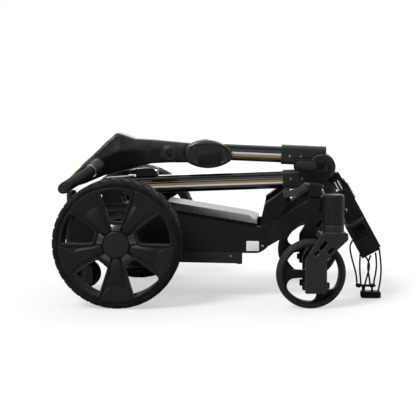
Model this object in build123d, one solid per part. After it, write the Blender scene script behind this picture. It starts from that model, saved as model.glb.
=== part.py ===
from build123d import *
import os
from math import asin, atan2, cos, degrees, radians, sin, sqrt, tan

# A folded electric golf trolley, in millimetres.
# Layout: X runs forward from the rear axle, Y to the far side, Z up from the floor.
# The finished pieces are shifted along X so that the origin lies under the middle of the trolley.

# Running fits and seats
pin_clearance = 0.05
running_gap = 0.4
seat_gap = 0.3

# Drive wheels
wheel_r = 147.5
tyre_width = 84.0
half_width = 275.0
tread_depth = 4.5
lug_count = 36
lug_groove = 7.0
lug_slant = 24.0
shoulder_drop = 8.5
shoulder_l = 15.0
tyre_seat_r = 134.0
rim_wall = 7.0
rim_inset = 2.0
dish_depth = 8.0
dish_thickness = 13.0
hub_r = 34.0
hub_length = 54.0
hub_cap_r = 30.0
hub_cap_t = 7.0
window_count = 5
window_r_in = 53.0
window_r_out = 124.0
window_w_in = 29.0
window_w_out = 73.0
window_bead = 3.0
relief_t = 1.8
land_r_in = 95.0
land_w_in = 26.0
land_margin = 5.0
drive_axle_r = 8.0

# Gear motors
gear_case_r = 52.0
gear_case_rib = 4.0
motor_r = 34.0
bearing_boss_r = 22.0
bearing_boss_l = 20.0
axle_engage = 70.0

# Chassis tub between the side frames
tub_half_w = 103.0
tub_back_x = -125.0
tub_front_x = 312.0
tub_bottom_z = 90.0
battery_floor_z = 114.0
step_x = 95.0
tub_wall = 5.0
battery_back_x = 118.0
battery_front_x = 292.0
battery_h = 58.0
controller_h = 22.0

# Battery lid
lid_back_x = 98.0
lid_back_z = 226.5
lid_slope = 9.2
lid_break_x = 295.0
lid_front_x = 315.0
lid_front_drop = 12.0
lid_skirt = 16.5
lid_half_w = 117.0
lid_flat_half_w = 60.0
lid_shoulder_h = 11.0
lid_wall = 4.0
tub_rear_top_z = lid_back_z - lid_skirt

# Side frames and front arms
frame_t = 12.0
frame_back_x = -70.0
frame_front_x = 345.0
arm_rise = 42.0
arm_t = 22.0
arm_h = 40.0
frame_sweep_r = 26.0

# Casters
caster_pivot_x = 490.0
caster_track = 226.0
caster_r = 80.0
caster_trail = 50.0
caster_tyre_t = 11.0
caster_width = 36.0
caster_swivel = {"near": 7.0, "far": 14.0}
barrel_r = 24.5
barrel_top_z = 257.0
barrel_bottom_z = 191.0
stem_r = 7.0
fork_t = 7.0
fork_gap = 3.5
fork_leg_w = 49.0
fork_leg_back = 8.0
fork_leg_bottom_z = 38.0
caster_axle_r = 5.0
axle_cover = 2.5
caster_hub_r = 15.0
caster_spoke_w = 24.0
spoke_flare_r = 17.0

# Anti-tip caster behind the axle
post_x = -143.0
post_r = 12.0
post_top_z = 248.0
post_bottom_z = 126.0
flange_r = 15.0
flange_t = 14.0
tip_wheel_r = 34.0
tip_wheel_w = 28.0
tip_lift = 8.0
tip_trail = 37.0
tip_stem_r = 5.0

# Folding shaft
tube_h = 42.0
tube_w = 34.0
tube_corner = 10.0
tube_wall = 2.5
sleeve_wall = 2.5
base_pivot_x = -45.0
base_pivot_z = 259.0
base_pin_r = 6.0
base_lug_r = 20.0
base_ear_t = 9.0
lower_tilt = 2.3
upper_tilt = 2.3
knuckle_x = 470.0
knuckle_z = 308.0
knuckle_r = 32.0
knuckle_tongue_w = 26.0
knuckle_w = 60.0
knuckle_pin_r = 6.0
lower_sleeve_l = 70.0
upper_sleeve_l = 100.0
upper_tube_l = 150.0

# Knuckle lever
lever_l = 82.0
lever_h = 32.0
lever_t = 14.0
lever_pin_r = 4.0
lever_cup_r = 21.0
lever_cup_t = 3.0

# Upper bag cradle, drawn along its own slope
cradle_slope = 61.3
cradle_l = 232.0
cradle_arm_w = 44.0
cradle_block_w = 70.0
cradle_half_span = 92.0
cradle_end_l = 84.0
cradle_end_t = 48.0
cradle_plate_t = 4.0
rack_pitch = 7.0
rack_teeth = 6

# Handle and console
tilt_pivot_x = 166.0
tilt_pivot_z = 339.0
tilt_pin_r = 5.0
neck_w = 26.0
console_half_w = 45.0
neck_half_w = 24.0
boss_x = 102.0
boss_z = 338.0
boss_r = 17.5
boss_ring_r = 9.5
boss_t = 8.0
boss_pad = 2.0
accessory_hole_r = 3.0
accessory_hole_l = 8.0
grip_r = 13.5
grip_collar = 2.0
grip_out_y = 130.0
dial_r = 17.0
dial_t = 6.0
dial_well = 4.0
button_r = 7.0
button_travel = 2.0

# Bungee cords and their hook
cord_r = 2.1
cord_y = -88.0

nodes = {}


def keep(name, shape):
    # Store one finished piece under its node name.
    nodes[name] = shape
    return shape


def along_y(sketch, y_from, y_to):
    # Extrude a sketch drawn in X and Z from y_from to y_to.
    return extrude(Plane.XZ.offset(-y_to) * sketch, y_to - y_from)


def outline(points, radius=0.0):
    # A closed face through the points, with all corners rounded alike.
    face = make_face(Polyline(*points, close=True))
    if radius > 0:
        face = fillet(face.vertices(), radius)
    return face


def rod_y(x, z, radius, y_from, y_to):
    # A round bar parallel to the axles.
    return along_y(Pos(x, z) * Circle(radius), y_from, y_to)


def rod_z(x, y, radius, z_from, z_to):
    # An upright round bar.
    return extrude(Plane.XY.offset(z_from) * Pos(x, y) * Circle(radius), z_to - z_from)


def polar(radius, angle):
    return (radius * cos(radians(angle)), radius * sin(radians(angle)))


def both_sides(name, near_piece):
    # Keep a near-side piece and its mirror image on the far side.
    keep(name + "_near", near_piece)
    keep(name + "_far", mirror(near_piece, about=Plane.XZ))


# Drive wheels: moulded five-spoke rim, lugged rubber tyre, hub cap and axle.
# A wheel is drawn about the Y axis with its outer face at Y = 0 and turned inwards.
rim_in_r = tyre_seat_r - rim_wall
hub_front_y = rim_inset + dish_depth
wheel_place = Pos(0, -half_width, wheel_r)


def window_face():
    # One rim window, standing above the hub, with a round outer edge.
    half_out = window_w_out / 2
    corner_r = sqrt(window_r_out ** 2 - half_out ** 2)
    edges = [
        Line((-half_out, corner_r), (-window_w_in / 2, window_r_in)),
        Line((-window_w_in / 2, window_r_in), (window_w_in / 2, window_r_in)),
        Line((window_w_in / 2, window_r_in), (half_out, corner_r)),
        ThreePointArc((half_out, corner_r), (0, window_r_out), (-half_out, corner_r)),
    ]
    face = make_face(edges)
    return fillet(face.vertices(), window_w_in / 4)


def land_face():
    # The raised pad where a spoke flares into the rim, hanging below the hub.
    step = 180 / window_count
    window_angle = degrees(atan2(window_w_out / 2, window_r_out))
    half_angle = step - window_angle - degrees(land_margin / window_r_out)
    out_r = rim_in_r + rim_wall / 2
    left_out = polar(out_r, 270 - half_angle)
    right_out = polar(out_r, 270 + half_angle)
    left_in = (-land_w_in / 2, -land_r_in)
    right_in = (land_w_in / 2, -land_r_in)
    edges = [
        Line(left_in, right_in),
        Line(right_in, right_out),
        ThreePointArc(right_out, (0, -out_r), left_out),
        Line(left_out, left_in),
    ]
    face = make_face(edges)
    return fillet(face.vertices(), land_margin)


def rim_profile(front_shift):
    # Half section of the rim: X is the radius, Y the depth from the outer face.
    dish_y = rim_inset - front_shift
    return [
        (drive_axle_r, hub_front_y),
        (hub_r, hub_front_y - front_shift),
        (rim_in_r, dish_y),
        (tyre_seat_r, dish_y),
        (tyre_seat_r, tyre_width - rim_inset),
        (rim_in_r, tyre_width - rim_inset),
        (rim_in_r, rim_inset + dish_thickness),
        (hub_r, hub_front_y + dish_thickness),
        (hub_r, hub_front_y + hub_length),
        (drive_axle_r, hub_front_y + hub_length),
    ]


def drive_rim():
    # The revolved dish, pierced by its windows, with raised beads and spoke lands.
    rim = revolve(make_face(Polyline(*rim_profile(0), close=True)), Axis.Y)
    raised = revolve(make_face(Polyline(*rim_profile(relief_t), close=True)), Axis.Y)
    window = window_face()
    bead = along_y(offset(window, window_bead), -relief_t, hub_front_y + dish_thickness)
    land = along_y(land_face(), -relief_t, hub_front_y + dish_thickness)
    cut = along_y(window, -tyre_width, tyre_width)
    places = [Rotation(0, i * 360 / window_count, 0) for i in range(window_count)]
    relief = [place * piece for place in places for piece in (bead, land)]
    rim = rim + (raised & (relief[0] + relief[1:]))
    return rim - [place * cut for place in places]


def drive_tyre():
    # A solid rubber band with slanted lugs that run out to both shoulders.
    shoulder_r = wheel_r - shoulder_drop
    round_r = (shoulder_drop ** 2 + shoulder_l ** 2) / (2 * shoulder_drop)
    half_turn = degrees(asin(shoulder_l / round_r)) / 2
    mid_r = wheel_r - round_r + polar(round_r, half_turn)[0]
    mid_y = shoulder_l - polar(round_r, half_turn)[1]
    far_y = tyre_width - shoulder_l
    edges = [
        Line((tyre_seat_r, 0), (shoulder_r, 0)),
        ThreePointArc((shoulder_r, 0), (mid_r, mid_y), (wheel_r, shoulder_l)),
        Line((wheel_r, shoulder_l), (wheel_r, far_y)),
        ThreePointArc((wheel_r, far_y), (mid_r, tyre_width - mid_y), (shoulder_r, tyre_width)),
        Line((shoulder_r, tyre_width), (tyre_seat_r, tyre_width)),
        Line((tyre_seat_r, tyre_width), (tyre_seat_r, 0)),
    ]
    tyre = revolve(make_face(edges), Axis.Y)
    half_length = tyre_width / 2 + lug_groove
    groove = Box(lug_groove, half_length, 2 * tread_depth)
    grooves = []
    for i in range(lug_count):
        turn = i * 360 / lug_count
        outer = Rotation(0, 0, lug_slant) * Pos(0, -half_length / 2, 0) * groove
        inner = Rotation(0, 0, -lug_slant) * Pos(0, half_length / 2, 0) * groove
        lift = Pos(0, tyre_width / 2, wheel_r)
        grooves.append(Rotation(0, turn, 0) * lift * outer)
        grooves.append(Rotation(0, turn + 180 / lug_count, 0) * lift * inner)
    return tyre - grooves


def hub_cap():
    # A plain domed cap that snaps on the hub's outer face.
    cap = rod_y(0, 0, hub_cap_r, hub_front_y - hub_cap_t, hub_front_y)
    rim_edge = cap.faces().sort_by(Axis.Y)[0].edges()
    return fillet(rim_edge, hub_cap_t / 3)


case_out_y = -half_width + hub_front_y + hub_length + 3
axle_in_y = case_out_y + axle_engage
both_sides("drive_rim", wheel_place * drive_rim())
both_sides("drive_tyre", wheel_place * drive_tyre())
both_sides("hub_cap", wheel_place * hub_cap())
both_sides("drive_axle", rod_y(0, wheel_r, drive_axle_r, -half_width + hub_front_y, axle_in_y))

# Side frames: one moulding each side, flat beside the battery and swept out to the caster barrel.
frame_out_y = -(tub_half_w + frame_t)
lid_drop = tan(radians(lid_slope))


def lid_top(x):
    return lid_back_z - (x - lid_back_x) * lid_drop


frame_low_z = 110.0
frame_neck_low_z = 126.0
frame_neck_high_z = 180.0
frame_profile = [
    (frame_back_x, tub_bottom_z),
    (step_x, tub_bottom_z),
    (step_x + 24, frame_low_z),
    (frame_front_x - 25, frame_low_z),
    (frame_front_x, frame_neck_low_z),
    (frame_front_x, frame_neck_high_z),
    (lid_front_x + 4, lid_top(lid_front_x) - lid_skirt - 2),
    (lid_back_x, tub_rear_top_z),
    (frame_back_x, tub_rear_top_z),
]


def arm_section(x, y, z, across, tall, heading, climb):
    # A rounded section of the front arm, square to its run.
    run = Vector(cos(radians(heading)) * cos(radians(climb)),
                 -sin(radians(heading)) * cos(radians(climb)), sin(radians(climb)))
    side = Vector(sin(radians(heading)), cos(radians(heading)), 0)
    plane = Plane(origin=(x, y, z), x_dir=side, z_dir=run)
    return plane * RectangleRounded(across, tall, across * 0.3)


frame_mid_y = frame_out_y + frame_t / 2
neck_mid_z = (frame_neck_low_z + frame_neck_high_z) / 2
neck_tall = frame_neck_high_z - frame_neck_low_z
barrel_mid_z = (barrel_top_z + barrel_bottom_z) / 2
arm_sweep = caster_track - 6 + frame_mid_y
arm_sections = [
    arm_section(frame_front_x - 3, frame_mid_y, neck_mid_z, frame_t, neck_tall, 0, 0),
    arm_section(
        frame_front_x + 35, frame_mid_y - arm_sweep * 0.1, neck_mid_z + 24,
        frame_t + 6, arm_h + 4, 28, arm_rise),
    arm_section(
        frame_front_x + 80, frame_mid_y - arm_sweep * 0.47, neck_mid_z + 60, arm_t, arm_h, 40, arm_rise - 4),
    arm_section(caster_pivot_x - 8, frame_mid_y - arm_sweep, barrel_mid_z + 12, arm_t + 4, arm_h, 36, 16),
]
barrel_solid = rod_z(caster_pivot_x, -caster_track, barrel_r, barrel_bottom_z, barrel_top_z)
motor_hole = rod_y(0, wheel_r, motor_r + pin_clearance, frame_out_y, 0)
frame_face = outline(frame_profile)
sweep_corners = [
    v for v in frame_face.vertices() if v.X > frame_front_x - 40 and v.Y < frame_neck_high_z - 10]
frame_face = fillet(sweep_corners, frame_sweep_r)
side_frame = along_y(frame_face, frame_out_y, -tub_half_w)
side_frame = side_frame + loft(arm_sections) - barrel_solid - motor_hole
both_sides("side_frame", side_frame)

# Caster barrels: upright bearing tubes at the ends of the front arms, with a pinch bolt and a front rib.
barrel_rib = Pos(caster_pivot_x - barrel_r * 0.6, -caster_track - barrel_r * 0.8, barrel_mid_z - 4)
barrel = barrel_solid + barrel_rib * Box(5, 5, barrel_top_z - barrel_bottom_z - 18)
barrel = barrel + rod_z(caster_pivot_x, -caster_track, barrel_r - 3, barrel_top_z, barrel_top_z + 3)
bolt_mid = Pos(caster_pivot_x + barrel_r, -caster_track, barrel_mid_z)
barrel = barrel + bolt_mid * Rotation(0, 90, 0) * Cylinder(4, 8)
barrel = barrel - side_frame
barrel = barrel - rod_z(
    caster_pivot_x, -caster_track, stem_r + pin_clearance, barrel_bottom_z, barrel_top_z - 8)
barrel = barrel.solids().sort_by(SortBy.VOLUME)[-1]
both_sides("caster_barrel", barrel)

# Front crossbeam that ties the two arms together below the knuckle.
beam_x = caster_pivot_x - 26
beam_section = Plane(origin=(beam_x, 0, barrel_mid_z + 10), x_dir=(1, 0, 0), z_dir=(0, 1, 0))
crossbeam = extrude(beam_section * RectangleRounded(26, 32, 8), caster_track - barrel_r / 2, both=True)
for piece in ("side_frame_near", "side_frame_far", "caster_barrel_near", "caster_barrel_far"):
    crossbeam = crossbeam - nodes[piece]
crossbeam = crossbeam.solids().sort_by(SortBy.VOLUME)[-1]
keep("front_crossbeam", crossbeam)

# Chassis tub: rear motor housing and battery well in one moulding, open under the lid.
tub_profile = [
    (tub_back_x, tub_bottom_z + 14),
    (tub_back_x + 14, tub_bottom_z),
    (step_x, tub_bottom_z),
    (step_x + 24, frame_low_z),
    (tub_front_x, frame_low_z),
    (tub_front_x, lid_top(tub_front_x) - lid_skirt - lid_front_drop),
    (lid_back_x, tub_rear_top_z),
    (tub_back_x + 34, tub_rear_top_z),
    (tub_back_x, tub_rear_top_z - 30),
]
tub = along_y(outline(tub_profile, 4), -tub_half_w, tub_half_w)
well_half_w = tub_half_w - tub_wall
well_top_z = lid_top(battery_back_x) + 1
well_mid_x = (battery_back_x + battery_front_x) / 2
well = Pos(well_mid_x, 0, (battery_floor_z + well_top_z) / 2)
well = well * Box(battery_front_x - battery_back_x, 2 * well_half_w, well_top_z - battery_floor_z)
tub = tub - well - rod_y(0, wheel_r, motor_r + pin_clearance, -tub_half_w, tub_half_w)
post_pad_z = [(post_bottom_z, post_bottom_z + 26), (tub_rear_top_z - 56, tub_rear_top_z - 30)]
for low, high in post_pad_z:
    clamp = rod_z(post_x, 0, post_r + 5, low, high)
    bridge = Pos((post_x + tub_back_x) / 2 + 3, 0, (low + high) / 2)
    bridge = bridge * Box(tub_back_x - post_x + 6, 2 * post_r, high - low)
    tub = tub + clamp + bridge
tub = tub - rod_z(post_x, 0, post_r, post_bottom_z, post_top_z)
keep("chassis_tub", tub)

# Battery pack and motor controller, both resting on the floor of the well.
battery_l = battery_front_x - battery_back_x - 2 * seat_gap
battery_w = 2 * (well_half_w - seat_gap)
battery = Pos(well_mid_x, 0, battery_floor_z + battery_h / 2) * Box(battery_l, battery_w, battery_h)
battery = fillet(battery.edges().filter_by(Axis.Z), 6)
keep("battery_pack", battery)
controller_l = battery_l * 0.5
controller_place = Pos(
    battery_back_x + seat_gap + controller_l / 2, 0, battery_floor_z + battery_h + controller_h / 2)
controller = controller_place * Box(controller_l, battery_w * 0.7, controller_h)
keep("motor_controller", fillet(controller.edges().filter_by(Axis.Z), 4))

# Battery lid: a sloping moulded cover that overhangs the side frames.
lid_profile = [
    (lid_back_x, lid_top(lid_back_x) - lid_skirt),
    (lid_back_x, lid_top(lid_back_x)),
    (lid_break_x, lid_top(lid_break_x)),
    (lid_front_x, lid_top(lid_break_x) - lid_front_drop),
    (lid_front_x, lid_top(lid_front_x) - lid_skirt),
]
lid = along_y(outline(lid_profile), -lid_half_w, lid_half_w)
hollow_profile = [
    (battery_back_x, 0),
    (battery_back_x, lid_top(battery_back_x) - lid_wall),
    (battery_front_x, lid_top(battery_front_x) - lid_wall),
    (battery_front_x, 0),
]
lid_run = Vector(cos(radians(lid_slope)), 0, -sin(radians(lid_slope)))
lid_plane = Plane(origin=(lid_back_x, 0, lid_back_z), x_dir=(0, 1, 0), z_dir=lid_run)


def crown_bar(lower):
    # A long bar under the lid's crown: flat in the middle, with sloping shoulders.
    section = outline([
        (-lid_half_w, -3 * lid_skirt - lid_wall), (lid_half_w, -3 * lid_skirt - lid_wall),
        (lid_half_w, -lid_shoulder_h - lower), (lid_flat_half_w, -lower),
        (-lid_flat_half_w, -lower), (-lid_half_w, -lid_shoulder_h - lower)])
    return extrude(lid_plane * section, 2 * (lid_front_x - lid_back_x), both=True)


lid = lid & crown_bar(0)
lid = lid - (along_y(outline(hollow_profile), -well_half_w, well_half_w) & crown_bar(lid_wall))
lid = lid - side_frame - mirror(side_frame, about=Plane.XZ) - tub
keep("battery_lid", lid)

# Gear motors: a ribbed round gear case outside the side frame and a motor tube inside the tub.
gear_case = rod_y(0, wheel_r, gear_case_r, case_out_y + bearing_boss_l, frame_out_y)
case_edge = gear_case.faces().sort_by(Axis.Y)[0].edges()
gear_case = fillet(case_edge, gear_case_rib)
gear_case = gear_case + rod_y(0, wheel_r, bearing_boss_r, case_out_y, case_out_y + bearing_boss_l)
rib_y = frame_out_y - gear_case_rib
gear_case = gear_case + rod_y(0, wheel_r, gear_case_r + gear_case_rib, rib_y, frame_out_y)
gearmotor = gear_case + rod_y(0, wheel_r, motor_r, frame_out_y, -gear_case_rib)
bore_end_y = axle_in_y + 2
gearmotor = gearmotor - rod_y(0, wheel_r, drive_axle_r + pin_clearance, case_out_y, bore_end_y)
both_sides("gearmotor", gearmotor)

# Tray rails under the battery well, with a deeper lip at the front end.
rail_back_x = step_x + 30
rail_front_x = 280.0
rail_low_z = 85.0
rail_w = 26.0
rail = along_y(outline([
    (rail_back_x, frame_low_z),
    (rail_back_x, rail_low_z + 2),
    (rail_front_x, rail_low_z),
    (rail_front_x, frame_low_z),
]), frame_out_y, frame_out_y + rail_w)
rail_lip = along_y(outline([
    (rail_front_x - 12, frame_low_z),
    (rail_front_x - 12, rail_low_z - 1),
    (rail_front_x, rail_low_z - 1),
    (rail_front_x, frame_low_z),
]), frame_out_y - 2, frame_out_y + rail_w)
rail = rail + rail_lip
keep("tray_rails", Compound([rail.solid(), mirror(rail, about=Plane.XZ).solid()]))

# Skid bails: bent rods under the rear housing.
skid_y = 80.0
skid_r = 3.5
skid_low_z = 63.0
skid_points = [
    (-30, -skid_y, tub_bottom_z), (-16, -skid_y, skid_low_z),
    (74, -skid_y, skid_low_z), (62, -skid_y, tub_bottom_z)]
skid_path = FilletPolyline(*skid_points, radius=10)
skid = sweep(Plane(origin=skid_path @ 0, z_dir=skid_path % 0) * Circle(skid_r), path=skid_path)
skid = skid & Pos(0, 0, tub_bottom_z / 2) * Box(400, 400, tub_bottom_z)
keep("skid_bails", Compound([skid.solid(), mirror(skid, about=Plane.XZ).solid()]))

# Anti-tip post in its clamps, with a flange at its foot.
post = rod_z(post_x, 0, post_r, post_bottom_z, post_top_z)
post = fillet(post.edges().sort_by(Axis.Z)[-1], post_r / 3)
post = post + rod_z(post_x, 0, flange_r, post_bottom_z - flange_t, post_bottom_z)
post_foot_z = post_bottom_z - flange_t
post = post - rod_z(post_x, 0, tip_stem_r + pin_clearance, post_foot_z, post_foot_z + 62)
keep("anti_tip_post", post)


def caster_fork(
        pivot_x, trail, axle_z, wheel_radius, wheel_width, crown_top_z, crown_r, leg_w, leg_bottom_z):
    # Two slanted legs from a round crown; drawn at Y = 0 with the wheel trailing towards -X.
    half_gap = wheel_width / 2 + fork_gap
    crown_low_z = axle_z + wheel_radius + fork_gap
    axle_x = pivot_x - trail
    leg_mid_x = axle_x + fork_leg_back * (leg_w / fork_leg_w)
    knee_z = axle_z + leg_w * 0.72
    profile = [
        (pivot_x - crown_r, crown_top_z),
        (pivot_x + crown_r, crown_top_z),
        (pivot_x + crown_r, crown_low_z - 4),
        (leg_mid_x + leg_w / 2, knee_z),
        (leg_mid_x + leg_w / 2, leg_bottom_z),
        (leg_mid_x - leg_w / 2, leg_bottom_z),
        (leg_mid_x - leg_w / 2, knee_z),
    ]
    face = outline(profile, 4)
    fork = along_y(face, -half_gap - fork_t, half_gap + fork_t)
    space = along_y(Rectangle(4 * wheel_radius, 2 * crown_low_z), -half_gap, half_gap)
    fork = fork - Pos(axle_x, 0, 0) * space
    slot_run = Vector(leg_mid_x - pivot_x, knee_z - crown_low_z)
    slot_turn = degrees(atan2(slot_run.Y, slot_run.X))
    slot_mid = ((leg_mid_x + pivot_x) / 2, (knee_z + crown_low_z) / 2)
    for along, shift, length in ((0.12, -0.24, 0.4), (0.05, 0.18, 0.5), (-0.42, 0.18, 0.3)):
        slot = Pos(*slot_mid) * Rot(0, 0, slot_turn + 180) * Pos(along * leg_w, shift * leg_w)
        slot = slot * SlotOverall(length * leg_w, leg_w * 0.2)
        fork = fork - along_y(slot, -half_gap - fork_t, half_gap + fork_t)
    return fork, axle_x, half_gap


def spoked_wheel(radius, width, tyre_t, hub, spoke, bore, count):
    # Rim with round-cornered windows between its spokes, and a solid ring tyre; axis along Y.
    rim_r = radius - tyre_t
    inner_r = rim_r - tyre_t * 0.45
    body = rod_y(0, 0, rim_r, -width * 0.36, width * 0.36)
    body = body - rod_y(0, 0, inner_r, -width, -width * 0.16) - rod_y(0, 0, inner_r, width * 0.16, width)
    body = body + rod_y(0, 0, hub, -width / 2, width / 2)
    half = spoke / 2
    sector = 360 / count
    low_r = hub + 4
    a_out = degrees(atan2(half, inner_r))
    a_in = degrees(atan2(half, low_r)) * 0.8
    p1 = polar(low_r, a_in)
    p2 = polar(inner_r, a_out)
    p3 = polar(inner_r, sector - a_out)
    p4 = polar(low_r, sector - a_in)
    edges = [
        Line(p1, p2),
        ThreePointArc(p2, polar(inner_r, sector / 2), p3),
        Line(p3, p4),
        ThreePointArc(p4, polar(low_r, sector / 2), p1),
    ]
    window = make_face(edges)
    outer = [v for v in window.vertices() if Vector(v.X, v.Y).length > inner_r - 1]
    window = fillet(outer, spoke_flare_r)
    inner = [v for v in window.vertices() if Vector(v.X, v.Y).length < low_r + 1]
    window = fillet(inner, tyre_t * 0.5)
    cut = along_y(window, -width, width)
    body = body - [Rotation(0, i * sector, 0) * cut for i in range(count)]
    body = body - rod_y(0, 0, bore + pin_clearance, -width, width)
    half_w = width / 2
    tyre_edges = [
        Line((rim_r, -half_w * 0.72), (rim_r, half_w * 0.72)),
        ThreePointArc((rim_r, half_w * 0.72), (radius, 0), (rim_r, -half_w * 0.72)),
    ]
    tyre = revolve(make_face(tyre_edges), Axis.Y)
    return body, tyre


# Casters: fork and stem that swivel in the barrel, and a three-spoke wheel on its axle.
fork_top_z = barrel_bottom_z - running_gap
fork, caster_axle_x, fork_half_gap = caster_fork(
    caster_pivot_x, caster_trail, caster_r, caster_r, caster_width, fork_top_z - 16, 30, fork_leg_w,
    fork_leg_bottom_z)
fork = fork + rod_z(caster_pivot_x, 0, barrel_r, fork_top_z - 18, fork_top_z)
fork = fork + rod_z(caster_pivot_x, 0, stem_r, fork_top_z, barrel_top_z - 10)
fork_out_y = fork_half_gap + fork_t
axle_half = fork_out_y - axle_cover
fork = fork - rod_y(caster_axle_x, caster_r, caster_axle_r, -axle_half, axle_half)
caster_axle = rod_y(caster_axle_x, caster_r, caster_axle_r, -axle_half, axle_half)
caster_rim, caster_tyre = spoked_wheel(
    caster_r, caster_width, caster_tyre_t, caster_hub_r, caster_spoke_w, caster_axle_r, 3)
for side, sign in (("near", -1), ("far", 1)):
    pivot = Axis((caster_pivot_x, 0, 0), (0, 0, 1))
    move = Pos(0, sign * caster_track, 0)
    turn = caster_swivel[side]
    wheel_spot = Pos(caster_axle_x, 0, caster_r) * Rotation(0, 60, 0)
    pieces = {
        "caster_fork_": fork,
        "caster_axle_": caster_axle,
        "caster_rim_": wheel_spot * caster_rim,
        "caster_tyre_": wheel_spot * caster_tyre,
    }
    for name, piece in pieces.items():
        keep(name + side, move * piece.rotate(pivot, turn))

# Anti-tip caster: small fork and wheel under the post, just clear of level ground.
tip_axle_z = tip_wheel_r + tip_lift
tip_fork_top_z = post_foot_z - running_gap
tip_crown_z = tub_bottom_z - 2
tip_fork, tip_axle_x, tip_half_gap = caster_fork(
    post_x, -tip_trail, tip_axle_z, tip_wheel_r, tip_wheel_w, tip_crown_z, flange_r, 26, tip_lift + 12)
tip_fork = tip_fork + rod_z(post_x, 0, flange_r, tip_crown_z, tip_fork_top_z)
tip_fork = tip_fork + rod_z(post_x, 0, tip_stem_r, tip_fork_top_z, post_foot_z + 58)
tip_out_y = tip_half_gap + fork_t
tip_fork = tip_fork + rod_y(tip_axle_x, tip_axle_z, caster_axle_r, -tip_out_y - 2, tip_out_y + 2)
keep("anti_tip_fork", tip_fork)
tip_wheel = rod_y(tip_axle_x, tip_axle_z, tip_wheel_r, -tip_wheel_w / 2, tip_wheel_w / 2)
tip_wheel = fillet(tip_wheel.edges(), tip_wheel_w / 4)
tip_wheel = tip_wheel - rod_y(tip_axle_x, tip_axle_z, tip_wheel_r - 13, -tip_wheel_w, -tip_wheel_w * 0.25)
tip_wheel = tip_wheel - rod_y(tip_axle_x, tip_axle_z, tip_wheel_r - 13, tip_wheel_w * 0.25, tip_wheel_w)
tip_wheel = tip_wheel + rod_y(tip_axle_x, tip_axle_z, caster_axle_r + 5, -tip_wheel_w / 2, tip_wheel_w / 2)
tip_wheel = tip_wheel - rod_y(
    tip_axle_x, tip_axle_z, caster_axle_r + pin_clearance, -tip_wheel_w, tip_wheel_w)
keep("anti_tip_wheel", tip_wheel)

# Lower shaft: drawn along its own slope from the base pivot to the knuckle.
lower_run = Vector(cos(radians(lower_tilt)), 0, sin(radians(lower_tilt)))
lower_plane = Plane(origin=(base_pivot_x, 0, base_pivot_z), x_dir=lower_run, z_dir=(0, -1, 0))
knuckle_local = lower_plane.to_local_coords(Vector(knuckle_x, 0, knuckle_z))
knuckle_u = knuckle_local.X
knuckle_v = knuckle_local.Y


def tube_section(plane, distance, wide, tall, corner):
    # A rounded section square to the run of a shaft, at a distance along it.
    origin = plane.origin + plane.x_dir * distance
    return Plane(origin=origin, x_dir=(0, 1, 0), z_dir=plane.x_dir) * RectangleRounded(wide, tall, corner)


def local_plate(plane, face, y_from, y_to):
    # Extrude a face drawn in a shaft's own plane between two values of Y.
    if plane.z_dir.Y < 0:
        return extrude(plane.offset(-y_to) * face, y_to - y_from)
    return extrude(plane.offset(y_from) * face, y_to - y_from)


def sleeve_block(plane, start, end):
    # The outer block of a sleeve that grips the tube.
    wide = tube_w + 2 * sleeve_wall
    tall = tube_h + 2 * sleeve_wall
    return extrude(tube_section(plane, start, wide, tall, tube_corner), end - start)


lower_sleeve_end = knuckle_u - 26
lower_sleeve_start = lower_sleeve_end - lower_sleeve_l
base_sleeve_end = 62.0
tube_start = base_lug_r + 6
tube_solid = extrude(
    tube_section(lower_plane, tube_start, tube_w, tube_h, tube_corner), lower_sleeve_end - 14 - tube_start)
tube_core = extrude(
    tube_section(
        lower_plane, tube_start, tube_w - 2 * tube_wall, tube_h - 2 * tube_wall, tube_corner - tube_wall),
    lower_sleeve_end - 14 - tube_start)
keep("lower_tube", tube_solid - tube_core)
half_sleeve = tube_w / 2 + sleeve_wall
base_lug = local_plate(lower_plane, outline([
    (-base_lug_r, -base_lug_r),
    (base_sleeve_end, -tube_h / 2 - sleeve_wall - 4),
    (base_sleeve_end, tube_h / 2 + sleeve_wall),
    (-base_lug_r, base_lug_r),
], 8), -half_sleeve, half_sleeve)
base_lug = base_lug - tube_solid
base_lug = base_lug - rod_y(
    base_pivot_x, base_pivot_z, base_pin_r + pin_clearance, -half_sleeve, half_sleeve)
keep("base_sleeve", base_lug)

# Base pivot: a bracket with two ears on the chassis, and the pin through them.
ear_in_y = half_sleeve + running_gap
ear_out_y = ear_in_y + base_ear_t
ear_face = outline([
    (base_pivot_x - base_lug_r, tub_rear_top_z + 6),
    (base_pivot_x + base_lug_r + 16, tub_rear_top_z + 6),
    (base_pivot_x + base_lug_r - 4, base_pivot_z + base_lug_r * 0.8),
    (base_pivot_x - base_lug_r + 4, base_pivot_z + base_lug_r * 0.8),
], 5)
bracket_base = Pos(base_pivot_x + 8, 0, tub_rear_top_z + 4) * Box(2 * base_lug_r + 40, 2 * ear_out_y + 16, 8)
ears = along_y(ear_face, -ear_out_y, -ear_in_y) + along_y(ear_face, ear_in_y, ear_out_y)
bracket = bracket_base + ears
bracket = bracket - rod_y(base_pivot_x, base_pivot_z, base_pin_r, -ear_out_y, ear_out_y)
keep("pivot_bracket", bracket)
keep("pivot_pin", rod_y(base_pivot_x, base_pivot_z, base_pin_r, -ear_out_y - 3, ear_out_y + 3))

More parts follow.
